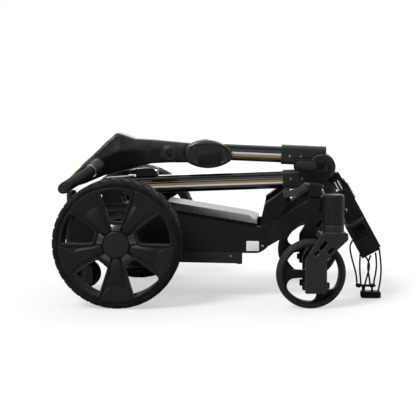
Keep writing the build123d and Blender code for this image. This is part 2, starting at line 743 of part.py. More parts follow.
# Lower knuckle: sleeve, two ears about the fold pin, and the seat of the upper bag cradle.
tongue_half = knuckle_tongue_w / 2
knuckle_half = knuckle_w / 2
ear_disc = Pos(knuckle_u, knuckle_v) * Circle(knuckle_r)
web = outline([
    (lower_sleeve_end - 30, -tube_h / 2 - sleeve_wall),
    (knuckle_u + 10, -tube_h / 2 - sleeve_wall),
    (knuckle_u + knuckle_r - 2, knuckle_v - 8),
    (knuckle_u - knuckle_r + 6, knuckle_v + 4),
    (lower_sleeve_end - 30, tube_h / 2),
], 3)
ear_in = tongue_half + running_gap
cheeks = local_plate(lower_plane, ear_disc, -knuckle_half, -ear_in)
cheeks = cheeks + local_plate(lower_plane, ear_disc, ear_in, knuckle_half)
cheeks = cheeks + local_plate(lower_plane, web, -half_sleeve, -ear_in)
cheeks = cheeks + local_plate(lower_plane, web, ear_in, half_sleeve)
tongue_room = local_plate(lower_plane, Pos(knuckle_u, knuckle_v) * Circle(knuckle_r + 2), -ear_in, ear_in)
lower_knuckle = sleeve_block(lower_plane, lower_sleeve_start, lower_sleeve_end)
lower_knuckle = lower_knuckle - tongue_room + cheeks - tube_solid
lower_knuckle = lower_knuckle - rod_y(knuckle_x, knuckle_z, knuckle_pin_r, -knuckle_half, knuckle_half)
keep("lower_knuckle", lower_knuckle)

# Upper shaft: drawn from the knuckle towards the handle.
upper_run = Vector(-cos(radians(upper_tilt)), 0, sin(radians(upper_tilt)))
upper_plane = Plane(origin=(knuckle_x, 0, knuckle_z), x_dir=upper_run, z_dir=(0, 1, 0))
upper_v = 25.5
upper_axis = Plane(
    origin=upper_plane.from_local_coords(Vector(0, upper_v, 0)), x_dir=upper_run, z_dir=(0, 1, 0))
upper_tube_start = knuckle_r + 4
upper_tube_end = upper_sleeve_l + upper_tube_l
upper_solid = extrude(
    tube_section(upper_axis, upper_tube_start, tube_w, tube_h - 2, tube_corner),
    upper_tube_end - upper_tube_start)
upper_core = extrude(
    tube_section(upper_axis, upper_tube_start, tube_w - 2 * tube_wall, tube_h - 2 - 2 * tube_wall,
                 tube_corner - tube_wall), upper_tube_end - upper_tube_start)
keep("upper_tube", upper_solid - upper_core)
sleeve_top = extrude(
    tube_section(upper_axis, -8, tube_w + 2 * sleeve_wall, tube_h + 2 * sleeve_wall, tube_corner),
    upper_sleeve_l + 8)
ear_room = local_plate(upper_plane, Circle(knuckle_r + 1.5), -knuckle_half - 1, -tongue_half)
ear_room = ear_room + local_plate(upper_plane, Circle(knuckle_r + 1.5), tongue_half, knuckle_half + 1)
tongue = local_plate(upper_plane, Circle(knuckle_r - 2), -tongue_half, tongue_half)
tongue_web = local_plate(upper_plane, outline([
    (-10, 6), (knuckle_r, 0), (knuckle_r + 22, upper_v - 10), (-10, upper_v)]), -tongue_half, tongue_half)
upper_knuckle = sleeve_top - ear_room + tongue + tongue_web - upper_solid
upper_knuckle = upper_knuckle - rod_y(
    knuckle_x, knuckle_z, knuckle_pin_r + pin_clearance, -tongue_half, tongue_half)
keep("upper_knuckle", upper_knuckle)

# Upper bag cradle: rides on the lower shaft and points forward when the shaft is raised.
# Its own plane starts at the knuckle, with X down the slope and Y towards the outer edge.
slope = radians(cradle_slope)
cradle_plane = Plane(origin=(knuckle_x, 0, knuckle_z), x_dir=(cos(slope), 0, -sin(slope)), z_dir=(0, -1, 0))
edge_q = knuckle_r + 1
cradle_start = 24.0
block_start = 72.0
end_start = cradle_l - cradle_end_l
end_low_q = edge_q - cradle_plate_t - cradle_end_t
arm_face = outline([
    (cradle_start, edge_q - cradle_plate_t),
    (end_start, edge_q - cradle_plate_t),
    (end_start, end_low_q + 12),
    (end_start - 28, end_low_q + 14),
    (block_start - 4, 6),
    (cradle_start, -6),
])
block_face = outline([
    (block_start, edge_q - cradle_plate_t),
    (end_start, edge_q - cradle_plate_t),
    (end_start, end_low_q + 6),
    (end_start - 24, end_low_q + 8),
    (block_start, 14),
], 3)
arm_top_z = knuckle_z - 14
half_arm = cradle_arm_w / 2
half_block = cradle_block_w / 2
cradle_arm = local_plate(cradle_plane, arm_face, -half_arm, half_arm)
cradle_arm = cradle_arm + local_plate(cradle_plane, block_face, -half_block, half_block)
cradle_arm = cradle_arm & Pos(knuckle_x, 0, arm_top_z - 200) * Box(600, 300, 400)
cradle_arm = cradle_arm - lower_knuckle
cradle_arm = cradle_arm - local_plate(
    lower_plane, Pos(knuckle_u, knuckle_v) * Circle(knuckle_r + 2), -ear_in, ear_in)
keep("cradle_arm", cradle_arm)

# Cradle rest: a V-shaped end with a pocket in each outer face, and the spine plate with its rack.
plan_plane = Plane(
    origin=cradle_plane.from_local_coords(Vector(0, end_low_q, 0)), x_dir=cradle_plane.x_dir,
    z_dir=cradle_plane.y_dir)
span = cradle_half_span
v_floor = cradle_l - 40
rest = extrude(plan_plane * outline([
    (end_start, -span), (cradle_l, -span), (cradle_l, -span + 9), (v_floor, -26),
    (v_floor, 26), (cradle_l, span - 9), (cradle_l, span), (end_start, span)], 3), cradle_end_t)
pocket = Pos(end_start + 26, end_low_q + cradle_end_t / 2 + 2) * RectangleRounded(34, 30, 3)
rest = rest - local_plate(cradle_plane, pocket, -span, -span + 14)
rest = rest - local_plate(cradle_plane, pocket, span - 14, span)
keep("cradle_rest", rest)
spine_start = block_start - 22
spine = local_plate(cradle_plane, outline([
    (spine_start, edge_q - cradle_plate_t), (cradle_l + 3, edge_q - cradle_plate_t), (cradle_l + 3, edge_q),
    (spine_start + 4, edge_q)]), -half_block, half_block)
tooth = outline([(0, 0), (rack_pitch * 0.8, 0), (rack_pitch * 0.3, 4)])
for i in range(rack_teeth):
    at_p = block_start - 8 + i * rack_pitch
    spine = spine + local_plate(cradle_plane, Pos(at_p, edge_q - 0.5) * tooth, -half_arm, half_arm)
spine = spine & Pos(knuckle_x, 0, arm_top_z - 200) * Box(600, 300, 400)
keep("cradle_spine", spine)

# Fold pin with a cross bar for the lever, and the quick-release lever on the near side.
lever_y = -knuckle_half - lever_cup_t - running_gap - lever_t / 2
cross_x = knuckle_x + 6
fold_pin = rod_y(knuckle_x, knuckle_z, knuckle_pin_r, lever_y, knuckle_half + 4)
fold_pin = fold_pin + rod_y(knuckle_x, knuckle_z, lever_cup_r, -knuckle_half - lever_cup_t, -knuckle_half)
fold_pin = fold_pin + rod_y(knuckle_x, knuckle_z, lever_cup_r - 8, knuckle_half, knuckle_half + 5)
cross_z = lever_h / 2 - 3
cross_bar = rod_z(cross_x, lever_y, lever_pin_r, knuckle_z - cross_z, knuckle_z + cross_z)
eye = rod_z(cross_x, lever_y, lever_pin_r + 2, knuckle_z - 6, knuckle_z + 6)
keep("fold_pin", fold_pin + cross_bar + eye)
lever_out_y = lever_y - lever_t / 2
lever_in_y = lever_y + lever_t / 2
lever_front_x = cross_x + lever_t / 2
lever_face = outline([
    (lever_front_x - lever_l, knuckle_z - lever_h / 2 + 9),
    (lever_front_x, knuckle_z - lever_h / 2),
    (lever_front_x, knuckle_z + lever_h / 2),
    (lever_front_x - lever_l, knuckle_z + lever_h / 2 + 5),
], 9)
lever = along_y(lever_face, lever_out_y, lever_in_y)
lever_plan = Pos(cross_x - lever_l / 2, lever_y) * SlotOverall(lever_l + lever_t, lever_t)
lever = lever & extrude(Plane.XY.offset(knuckle_z - lever_h) * lever_plan, 2 * lever_h)
lever = lever - rod_z(
    cross_x, lever_y, lever_pin_r + pin_clearance, knuckle_z - cross_z - 1, knuckle_z + cross_z + 1)
eye_room = Pos(cross_x - 1, lever_y, knuckle_z) * Box(2 * lever_pin_r + 18, 3 * lever_t, 13)
lever = lever - eye_room
lever = lever - rod_y(knuckle_x, knuckle_z, knuckle_pin_r + 1.5, lever_y, lever_in_y + 2)
keep("knuckle_lever", lever)

# Fold catch on top of the lower tube: finger bar, body and round nose.
catch_u = base_sleeve_end + 2
catch_l = 46.0
catch_low = tube_h / 2
catch_high = catch_low + 19
catch = local_plate(lower_plane, outline([
    (catch_u, catch_low), (catch_u + catch_l, catch_low), (catch_u + catch_l, catch_high - 3),
    (catch_u + catch_l - 8, catch_high), (catch_u, catch_high)], 1.5), -tube_w / 2, tube_w / 2)
finger = local_plate(lower_plane, outline([
    (catch_u - 36, catch_low + 6), (catch_u + 4, catch_low + 5), (catch_u + 4, catch_high - 3),
    (catch_u - 36, catch_high - 5)], 2.5), -12, 12)
nose_origin = lower_plane.from_local_coords(Vector(catch_u + catch_l, catch_low + 9, 0))
nose = extrude(Plane(origin=nose_origin, x_dir=(0, 1, 0), z_dir=lower_run) * Circle(8), 7)
keep("fold_catch", catch + finger + nose)

# Handle adjuster: two half shells that clamp the upper tube and hold the tilt pin.
shell_half = 32.0
shell_right_x = 251.0
shell_nose_r = 29.0
shell_top_z = tilt_pivot_z + 32.5
shell_low_z = tilt_pivot_z - 34.0
shell_round = 6.0
shell_corner_r = 10.0
shell_slot = neck_w / 2 + running_gap
web_x = tilt_pivot_x + 27
shell_mid_x = (tilt_pivot_x + shell_right_x) / 2 - 4
nose_x, nose_z = polar(shell_nose_r, 128)
nose_top = (tilt_pivot_x + nose_x, tilt_pivot_z + nose_z)
nose_low = (tilt_pivot_x + nose_x, tilt_pivot_z - nose_z)
nose_tip = (tilt_pivot_x - shell_nose_r, tilt_pivot_z)
end_top = (shell_right_x, shell_top_z - 24)
end_low = (shell_right_x, shell_low_z + 18)
shell_face = make_face([
    ThreePointArc(nose_top, (shell_mid_x, shell_top_z), end_top),
    Line(end_top, end_low),
    ThreePointArc(end_low, (shell_mid_x, shell_low_z), nose_low),
    ThreePointArc(nose_low, nose_tip, nose_top),
])
shell_face = fillet(shell_face.vertices(), shell_corner_r)
shell = along_y(shell_face, -shell_half, 0)
shell_rim = shell.faces().sort_by(Axis.Y)[0].edges()
shell = fillet(shell_rim, shell_round)
shell_left_x = tilt_pivot_x - shell_nose_r
panel_face = outline([
    (tilt_pivot_x - 10, tilt_pivot_z + 5), (shell_right_x - 28, tilt_pivot_z + 9),
    (shell_right_x - 14, tilt_pivot_z),
    (shell_right_x - 16, tilt_pivot_z - 18), (shell_right_x - 38, tilt_pivot_z - 26),
    (tilt_pivot_x + 22, tilt_pivot_z - 26), (tilt_pivot_x - 4, tilt_pivot_z - 18)], 5)
shell = shell - along_y(panel_face, -shell_half, -shell_half + 1.5)
for hole_x, hole_z in ((tilt_pivot_x - 4, 17), (shell_right_x - 18, 15), (shell_right_x - 18, -22)):
    shell = shell - rod_y(hole_x, tilt_pivot_z + hole_z, 2.2, -shell_half, -shell_half + 8)
slot_l = web_x - shell_left_x + 20
slot = Pos(web_x - slot_l / 2, 0, tilt_pivot_z) * Box(slot_l, 2 * shell_slot, 120)
shell = shell - slot - upper_solid
far_shell = mirror(shell, about=Plane.XZ)
near_shell = shell + rod_y(tilt_pivot_x, tilt_pivot_z, tilt_pin_r, -shell_slot, shell_slot)
keep("adjuster_shells", Compound([near_shell.solid(), far_shell.solid()]))

# Handle: wedge-shaped console head, curved neck and a tongue on the tilt pin.
head_top = (-25.0, 391.5)
head_low = (-141.0, 281.0)
handle_corner = 6.0
neck_end_x = tilt_pivot_x - 12
handle_stations = [
    (neck_end_x, 317, 350, 364, 17, neck_half_w, 18),
    (100, 317, 352, 369, 18, neck_half_w, 19),
    (56, 314.5, 353, 373, 18, neck_half_w + 3, 20),
    (18, 306, 352, 375, 20, 38, 26),
    (-18, 297.5, 348, 388, 24, console_half_w, 34),
    (-60, 285, 330, 392, 26, console_half_w, 36),
    (-104, 266, 305, 372, 26, console_half_w, 36),
    (-150, 252, 284, 350, 24, console_half_w, 36),
]


def handle_section(x, low, ridge, high, low_w, ridge_w, high_w):
    # A six-sided section across the neck: widest at a ridge, narrower at its top and underside.
    points = [
        (-low_w, low), (-ridge_w, ridge), (-high_w, high), (high_w, high), (ridge_w, ridge), (low_w, low)]
    return Plane(origin=(x, 0, 0), x_dir=(0, 1, 0), z_dir=(1, 0, 0)) * outline(points, handle_corner)


handle = loft([handle_section(*station) for station in handle_stations], ruled=True)
face_run = Vector(head_top[0] - head_low[0], 0, head_top[1] - head_low[1]).normalized()
face_normal = Vector(-face_run.Z, 0, face_run.X)
face_mid = Vector((head_top[0] + head_low[0]) / 2, 0, (head_top[1] + head_low[1]) / 2)
face_plane = Plane(origin=face_mid, x_dir=(0, -1, 0), z_dir=face_normal)
handle = handle - extrude(face_plane * Rectangle(400, 400), 200)
handle = handle & Pos(head_low[0] + 300, 0, 300) * Box(600, 400, 400)
handle = handle - rod_y(
    tilt_pivot_x, tilt_pivot_z, shell_nose_r + running_gap, -console_half_w, console_half_w)
boss_seat = neck_half_w + 1
handle = handle + rod_y(boss_x, boss_z, boss_r + boss_pad, -boss_seat, boss_seat)
tongue_r = 18.0
neck = along_y(Pos(tilt_pivot_x, tilt_pivot_z) * Circle(tongue_r), -neck_w / 2, neck_w / 2)
neck_back_x = shell_left_x - 10
neck = neck + Pos((neck_back_x + tilt_pivot_x) / 2, 0, tilt_pivot_z) * Box(
    tilt_pivot_x - neck_back_x, neck_w, 2 * tongue_r)
handle = handle + neck - rod_y(tilt_pivot_x, tilt_pivot_z, tilt_pin_r + pin_clearance, -neck_w, neck_w)

# Grip sockets on the head, square to the swept-back grips.
grip_in = Vector(-66, -34, 312)
grip_out = Vector(-146, -grip_out_y - 6, 259.5)
grip_dir = (grip_out - grip_in).normalized()
grip_plane = Plane(origin=grip_in, z_dir=grip_dir)
grip_start = 33.0
far_grip_plane = Plane(origin=(grip_in.X, -grip_in.Y, grip_in.Z), z_dir=(grip_dir.X, -grip_dir.Y, grip_dir.Z))
for place in (grip_plane, far_grip_plane):
    handle = handle + extrude(place * Circle(grip_r + grip_collar), grip_start)

# Control panel, dial and button on the sloping face of the console head.
panel_t = 7.0
panel_proud = 0.8
panel_sketch = RectangleRounded(62, 118, 12)
panel = extrude(face_plane.offset(panel_proud - panel_t) * panel_sketch, panel_t)
handle = handle - panel
dial_v = -30.0
button_v = 10.0
dial_stem_r = 4.0
dial_stem_l = 14.0
dial_gap = 0.8
button_l = 8.0
button_proud = 1.2
bore_end = 2.0
dial_top = panel_proud + seat_gap - dial_well
dial_bore = Pos(0, dial_v) * Circle(dial_stem_r + pin_clearance)
button_bore = Pos(0, button_v) * Circle(button_r + pin_clearance)
dial_hole = extrude(face_plane.offset(-dial_stem_l - bore_end) * dial_bore, dial_stem_l + bore_end + panel_t)
button_room = button_l + button_travel + bore_end
button_hole = extrude(face_plane.offset(-button_room) * button_bore, button_room + panel_t)
handle = handle - dial_hole - button_hole
dial_room = Pos(0, dial_v) * Circle(dial_r + dial_gap)
panel = panel - extrude(face_plane.offset(panel_proud - dial_well) * dial_room, 2 * dial_well)
keep("control_panel", panel - dial_hole - button_hole)
dial = extrude(face_plane.offset(dial_top) * Pos(0, dial_v) * Circle(dial_r), dial_t)
dial = fillet(dial.faces().sort_by(Axis(face_mid, face_normal))[-1].edges(), 2.5)
dial = dial + extrude(
    face_plane.offset(-dial_stem_l) * Pos(0, dial_v) * Circle(dial_stem_r), dial_stem_l + dial_top)
keep("speed_dial", dial)
button = extrude(
    face_plane.offset(-button_l) * Pos(0, button_v) * Circle(button_r), button_l + panel_proud + button_proud)
keep("power_button", fillet(button.faces().sort_by(Axis(face_mid, face_normal))[-1].edges(), 1.2))

# Accessory bosses on the neck: plugs with a threaded socket on each side.
plug_l = 14.0
boss = rod_y(boss_x, boss_z, boss_r, -boss_seat - boss_t, -boss_seat)
boss = fillet(boss.faces().sort_by(Axis.Y)[0].edges(), 2.5)
boss = boss + rod_y(boss_x, boss_z, boss_ring_r, -boss_seat, -boss_seat + plug_l)
boss = boss - rod_y(
    boss_x, boss_z, accessory_hole_r, -boss_seat - boss_t, -boss_seat - boss_t + accessory_hole_l)
handle = handle - rod_y(boss_x, boss_z, boss_ring_r, -boss_seat, -boss_seat + plug_l)
handle = handle - rod_y(boss_x, boss_z, boss_ring_r, boss_seat - plug_l, boss_seat)
keep("accessory_bosses", Compound([boss.solid(), mirror(boss, about=Plane.XZ).solid()]))

# Grips: swept-back round bars whose ends are cut flush with the trolley's side.
keep("handle_body", handle)
grip = extrude(grip_plane.offset(grip_start) * Circle(grip_r), (grip_out - grip_in).length + 12 - grip_start)
grip = grip & Pos(0, -grip_out_y / 2, 300) * Box(600, grip_out_y, 300)
grip = grip.solids().sort_by(Axis.Y)[0]
grip = fillet(grip.faces().sort_by(Axis.Y)[0].edges(), 3)
keep("grips", Compound([grip.solid(), mirror(grip, about=Plane.XZ).solid()]))

# Lower bag cradle on the front of the side frames: two wings joined by a saddle.
wing_in_y = 84.0
wing_out_y = 124.0
wing_face = outline([(331, 225), (386, 265), (395, 233), (362, 191)], 4)
leg_face = outline([(322, 170), (334, 224), (364, 196), (347, 172)], 2)
saddle_face = outline([(344, 215), (366, 232), (380, 218), (360, 196)], 3)
cradle_low = along_y(saddle_face, -wing_in_y, wing_in_y)
for sign in (-1, 1):
    lo, hi = sorted((sign * wing_in_y, sign * wing_out_y))
    leg_lo, leg_hi = sorted((sign * tub_half_w, -sign * frame_out_y))
    cradle_low = cradle_low + along_y(wing_face, lo, hi) + along_y(leg_face, leg_lo, leg_hi)
cradle_low = cradle_low - nodes["side_frame_near"] - nodes["side_frame_far"] - nodes["battery_lid"]
keep("lower_cradle", cradle_low)

# Bag strap buckle: a link from the near wing to a bar above the arm, and the webbing that hangs from it.
strap_t = 1.8
strap_w = 28.0
strap_x = 450.0
strap_lean = 7.0
bar_y = 2 - caster_track
bar_z = 279.0
bar_r = 4.0
bar_end_x = strap_x - strap_w / 2 - 8
lean_axis = Axis((strap_x, bar_y, bar_z), (0, 1, 0))
link_points = [(380, -wing_out_y - 4, 250), (412, 48 - caster_track, 262), (bar_end_x, bar_y, bar_z)]
link_path = FilletPolyline(*link_points, radius=60)
link_plane = Plane(origin=link_path @ 0, x_dir=(0, 0, 1), z_dir=link_path % 0)
link = sweep(link_plane * RectangleRounded(16, 7, 2), path=link_path)
link = link + rod_y(384, 250, 7, -wing_out_y - 8, -wing_out_y)
bar = extrude(Plane(origin=(bar_end_x - 4, bar_y, bar_z), z_dir=(1, 0, 0)) * Circle(bar_r), strap_w + 16)
keep("strap_buckle", link + bar.rotate(lean_axis, strap_lean))
strap_r = bar_r + strap_t / 2 + seat_gap
strap_points = [
    (bar_y + strap_r, bar_z - 16), (bar_y + strap_r, bar_z + strap_r), (bar_y - strap_r, bar_z + strap_r),
    (bar_y - strap_r, 236), (bar_y - 4, 194), (bar_y + 30, 167)]
strap_line = FilletPolyline(
    *[(0, y, z) for y, z in strap_points], radius=[strap_r - 0.1, strap_r - 0.1, 60, 18])
strap_plane = Plane(origin=strap_line @ 0, x_dir=(1, 0, 0), z_dir=strap_line % 0)
strap = sweep(strap_plane * Rectangle(strap_w, strap_t), path=strap_line)
keep("bag_strap", (Pos(strap_x, 0, 0) * strap).rotate(lean_axis, strap_lean))

# Bungee cords: three loops that hang from the near end of the cradle rest and carry the strap hook.
cord_routes = {
    "bungee_loop_left": [
        (544.0, 141.0), (536.5, 133.0), (535.0, 118.0), (540.0, 95.0), (547.0, 72.0), (551.5, 52.0),
        (552.5, 38.0),
        (552.5, 27.5), (561.7, 27.5), (561.7, 40.0), (559.3, 62.0), (558.6, 86.0), (560.0, 112.0)],
    "bungee_loop_right": [
        (584.5, 103.5), (580.0, 92.0), (577.5, 76.0), (580.0, 58.0), (583.0, 42.0), (583.3, 27.5),
        (592.6, 27.5),
        (592.8, 42.0), (597.0, 62.0), (599.0, 86.0), (595.5, 110.0)],
    "bungee_loop_outer": [
        (573.0, 99.0), (580.5, 88.0), (582.5, 74.0), (577.0, 52.0), (571.0, 30.0), (570.0, 10.0),
        (588.0, 9.0),
        (602.0, 11.0), (606.5, 30.0), (609.5, 54.0), (610.0, 80.0), (605.0, 117.0)],
}
cord_depths = {"bungee_loop_left": cord_y, "bungee_loop_right": cord_y, "bungee_loop_outer": cord_y + 7}


def cord_path(name):
    # Straight runs joined by the largest tangent arcs that the runs allow.
    points = [Vector(x, cord_depths[name], z) for x, z in cord_routes[name]]
    radii = []
    for before, here, after in zip(points, points[1:], points[2:]):
        turn = (here - before).get_angle(after - here)
        shorter = min((here - before).length, (after - here).length)
        radii.append(0.45 * shorter / tan(radians(turn) / 2))
    return FilletPolyline(*points, radius=radii)


def cord_tube(path, radius):
    # A round tube along a cord's path.
    return sweep(Plane(origin=path @ 0, z_dir=path % 0) * Circle(radius), path=path)


rest_solid = nodes["cradle_rest"]
hook_low_z = 2.0
hook_high_z = 18.0
block_x0 = 561.0
block_x1 = 609.0
hook = Pos((block_x0 + block_x1) / 2, cord_y + 2, (hook_low_z + hook_high_z) / 2) * Box(
    block_x1 - block_x0, 24, hook_high_z - hook_low_z)
hook = fillet(hook.edges().filter_by(Axis.Y), 5)
peg_z = 27.5 + 4.6
peg_r = 1.9
rail_y = cord_y - 8
peg_rail = extrude(Plane(origin=(549, rail_y, peg_z), z_dir=(1, 0, 0)) * Circle(3), 47)
hook = hook + peg_rail
for peg_x in (557.1, 588.0):
    hook = hook + rod_y(peg_x, peg_z, peg_r, rail_y, cord_y + 4)
    hook = hook + rod_y(peg_x, peg_z, peg_r + 1.6, cord_y + 3, cord_y + 5)
for strut_x in (566.0, 588.0):
    hook = hook + rod_z(strut_x, rail_y, 2.5, hook_low_z + 6, peg_z)
for name in cord_routes:
    path = cord_path(name)
    tube = cord_tube(path, cord_r)
    tube = tube - rest_solid - nodes["cradle_spine"]
    keep(name, tube.solids().sort_by(SortBy.VOLUME)[-1])
    hook = hook - cord_tube(path, cord_r + 0.1)
keep("bungee_hook", hook.solids().sort_by(SortBy.VOLUME)[-1])

# Shift every piece so that the origin lies on the floor under the middle of the trolley, and write
# the files.
cord_names = [name for name in nodes if name.startswith("bungee")]
box = Compound([shape for name, shape in nodes.items() if name not in cord_names]).bounding_box()
origin_x = (box.min.X + box.max.X) / 2
os.makedirs("parts", exist_ok=True)
for name, shape in nodes.items():
    export_step(Pos(-origin_x, 0, 0) * shape, "parts/" + name + ".step")
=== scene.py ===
import math

import bmesh
import bpy
from mathutils import Matrix, Vector


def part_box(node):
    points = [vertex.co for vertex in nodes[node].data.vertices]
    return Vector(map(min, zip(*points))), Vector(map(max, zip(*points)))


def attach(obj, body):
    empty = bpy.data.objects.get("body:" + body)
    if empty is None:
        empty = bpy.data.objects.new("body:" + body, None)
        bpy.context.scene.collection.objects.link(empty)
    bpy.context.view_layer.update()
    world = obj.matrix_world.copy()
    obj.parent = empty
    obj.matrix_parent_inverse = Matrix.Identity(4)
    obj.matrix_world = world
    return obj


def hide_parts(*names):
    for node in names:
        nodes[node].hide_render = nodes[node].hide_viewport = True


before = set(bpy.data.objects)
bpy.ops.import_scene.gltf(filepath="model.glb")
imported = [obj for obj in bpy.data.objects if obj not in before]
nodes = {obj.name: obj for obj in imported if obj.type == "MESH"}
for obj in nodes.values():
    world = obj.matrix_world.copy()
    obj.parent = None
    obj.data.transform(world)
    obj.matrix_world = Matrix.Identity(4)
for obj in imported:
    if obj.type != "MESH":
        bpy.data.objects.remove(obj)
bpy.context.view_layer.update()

# Chassis tub: the rear motor housing and battery well in one moulding, with the rails that carry the
# battery tray. Injection-moulded in glass-filled nylon, with a fine sparked grain and edges painted paler,
# partly as wear and partly as painted highlight.
axle_low, axle_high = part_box("drive_axle_near")
axle_x = (axle_low.x + axle_high.x) / 2
cloud_mm = 60.0
grain_depth = 0.0003
roughness_spread = 0.07
flat_lean = 0.99
edge_lean = 0.84
cloud_lift = 1.4


def spot(x, y, z):
    # A point given in millimetres from the rear axle, the middle plane and the floor.
    return Vector((axle_x + x / 1000, y / 1000, z / 1000))


def linear(shade):
    # An sRGB hex shade as the linear colour that a socket takes.
    parts = [int(shade[i:i + 2], 16) / 255 for i in (1, 3, 5)]
    return [c / 12.92 if c <= 0.04045 else ((c + 0.055) / 1.055) ** 2.4 for c in parts] + [1.0]


def add(tree, kind, inputs=None, **settings):
    # One shader node with its settings, its values and its links.
    node = tree.nodes.new(kind)
    for name, value in settings.items():
        setattr(node, name, value)
    for name, value in (inputs or {}).items():
        if isinstance(value, bpy.types.NodeSocket):
            tree.links.new(value, node.inputs[name])
        else:
            node.inputs[name].default_value = value
    return node


def start_material(name):
    # A new node material with nothing in it, and its object coordinates.
    material = bpy.data.materials.new(name)
    material.use_nodes = True
    tree = material.node_tree
    tree.nodes.clear()
    return material, tree, add(tree, "ShaderNodeTexCoord").outputs["Object"]


def moulded(name, shade, edge_wear_and_highlight, grain_mm, roughness, edge_mm, relief, shine):
    # A moulded or painted black: cloudy base colour, fine grain, and edges painted paler, partly as wear and
    # partly as painted highlight.
    # Grain under about 1 mm would not show at the render's scale, so it is drawn a little coarser.
    material, tree, place = start_material(name)
    cloud = add(tree, "ShaderNodeTexNoise", {"Vector": place, "Scale": 1000 / cloud_mm, "Detail": 3.0})
    grain = add(tree, "ShaderNodeTexNoise", {"Vector": place, "Scale": 1000 / grain_mm, "Detail": 2.0})
    rounded = add(tree, "ShaderNodeBevel", {"Radius": edge_mm / 1000}, samples=6)
    surface = add(tree, "ShaderNodeNewGeometry")
    lean = add(tree, "ShaderNodeVectorMath", {
        0: rounded.outputs["Normal"], 1: surface.outputs["Normal"]}, operation="DOT_PRODUCT")
    edge = add(tree, "ShaderNodeMapRange", {
        "Value": lean.outputs["Value"], "From Min": flat_lean, "From Max": edge_lean})
    # The paler edge colour is partly wear and partly a painted highlight along every edge.
    wear_and_highlight_mask = add(tree, "ShaderNodeMath", {
        0: edge.outputs["Result"], 1: cloud.outputs["Fac"]}, operation="MULTIPLY")
    dark = linear(shade)
    pale = [c * cloud_lift for c in dark[:3]] + [1.0]
    base = add(tree, "ShaderNodeMix", {
        "Factor": cloud.outputs["Fac"], "A": dark, "B": pale}, data_type="RGBA")
    color = add(tree, "ShaderNodeMix", {
        "Factor": wear_and_highlight_mask.outputs["Value"], "A": base.outputs["Result"], "B": linear(edge_wear_and_highlight)}, data_type="RGBA")
    rough = add(tree, "ShaderNodeMapRange", {
        "Value": grain.outputs["Fac"], "To Min": roughness - roughness_spread,
        "To Max": roughness + roughness_spread})
    bump = add(tree, "ShaderNodeBump", {
        "Height": grain.outputs["Fac"], "Strength": relief, "Distance": grain_depth,
        "Normal": rounded.outputs["Normal"]})
    shader = add(tree, "ShaderNodeBsdfPrincipled", {
        "Base Color": color.outputs["Result"], "Roughness": rough.outputs["Result"], "IOR": 1.5,
        "Specular IOR Level": shine, "Normal": bump.outputs["Normal"]})
    add(tree, "ShaderNodeOutputMaterial", {"Surface": shader.outputs["BSDF"]})
    return material


def paint(material, *names):
    # Give CAD pieces their finish.
    for name in names:
        nodes[name].data.materials.clear()
        nodes[name].data.materials.append(material)


# The sparked grain gives the tub a dull, even black; the rails are a shade paler and slicker.
nylon = moulded("glass_filled_nylon_sparked", "#0f0f10", "#3b3a3c",
                grain_mm=1.3, roughness=0.58, edge_mm=1.2, relief=0.35, shine=0.2)
rail_nylon = moulded("tray_rail_nylon", "#1b1b1d", "#48474a",
                     grain_mm=1.5, roughness=0.5, edge_mm=1.4, relief=0.35, shine=0.3)
paint(nylon, "chassis_tub")
paint(rail_nylon, "tray_rails")

# Battery pack and motor controller: closed boxes under the lid, moulded in flame-proofed ABS
# with a slightly warmer black than the chassis around them.
abs_case = moulded("flame_proof_abs_case", "#171719", "#34343a",
                   grain_mm=1.8, roughness=0.5, edge_mm=0.8, relief=0.2, shine=0.3)
paint(abs_case, "battery_pack", "motor_controller")

# Side frames: one long nylon moulding on each side, flat beside the battery and swept out to the
# front barrels. A socket screw holds each to the tub, and a plain vinyl label is stuck on the near one.
frame_face = 115.0
frame_screw_at = (328.8, 127.5)
rail_screw_at = (252.8, 102.8)
label_at = (305.2, 127.0)
smooth_angle = 35.0
sides = (("near", -1), ("far", 1))
# A little smoother than the tub, with wide soft edges painted with a pale line, partly wear and partly
# painted highlight.
frame_nylon = moulded("side_frame_nylon", "#111112", "#3d3c3e",
                      grain_mm=1.5, roughness=0.52, edge_mm=1.8, relief=0.35, shine=0.22)
paint(frame_nylon, "side_frame_near", "side_frame_far")


def turned_steel(name, shade, roughness):
    # Bright machined metal: fine tool marks break up its mirror, drawn 0.8 mm apart so that they show.
    material, tree, place = start_material(name)
    noise = add(tree, "ShaderNodeTexNoise", {"Vector": place, "Scale": 1000 / 0.8, "Detail": 2.0})
    rough = add(tree, "ShaderNodeMapRange", {
        "Value": noise.outputs["Fac"], "To Min": roughness - 0.08, "To Max": roughness + 0.1})
    bump = add(tree, "ShaderNodeBump", {
        "Height": noise.outputs["Fac"], "Strength": 0.12, "Distance": 0.0002})
    shader = add(tree, "ShaderNodeBsdfPrincipled", {
        "Base Color": linear(shade), "Metallic": 1.0, "Roughness": rough.outputs["Result"],
        "Normal": bump.outputs["Normal"]})
    add(tree, "ShaderNodeOutputMaterial", {"Surface": shader.outputs["BSDF"]})
    return material


zinc_steel = turned_steel("bright_zinc_steel", "#d6d8dc", 0.26)


def pick(piece, test):
    # In edit mode, select the faces that pass a test.
    mesh = bmesh.from_edit_mesh(piece.data)
    for face in mesh.faces:
        face.select_set(test(face))
    mesh.select_flush(True)
    bmesh.update_edit_mesh(piece.data)


def settle(piece, name, material, body):
    # Put a finished piece's place into its mesh, give it its finish and let it ride on its body.
    bpy.ops.object.select_all(action="DESELECT")
    piece.select_set(True)
    bpy.context.view_layer.objects.active = piece
    bpy.ops.object.transform_apply(location=True, rotation=True, scale=True)
    piece.name = name
    piece.data.name = name
    piece.data.materials.clear()
    piece.data.materials.append(material)
    bpy.ops.object.shade_smooth_by_angle(angle=math.radians(smooth_angle))
    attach(piece, body)


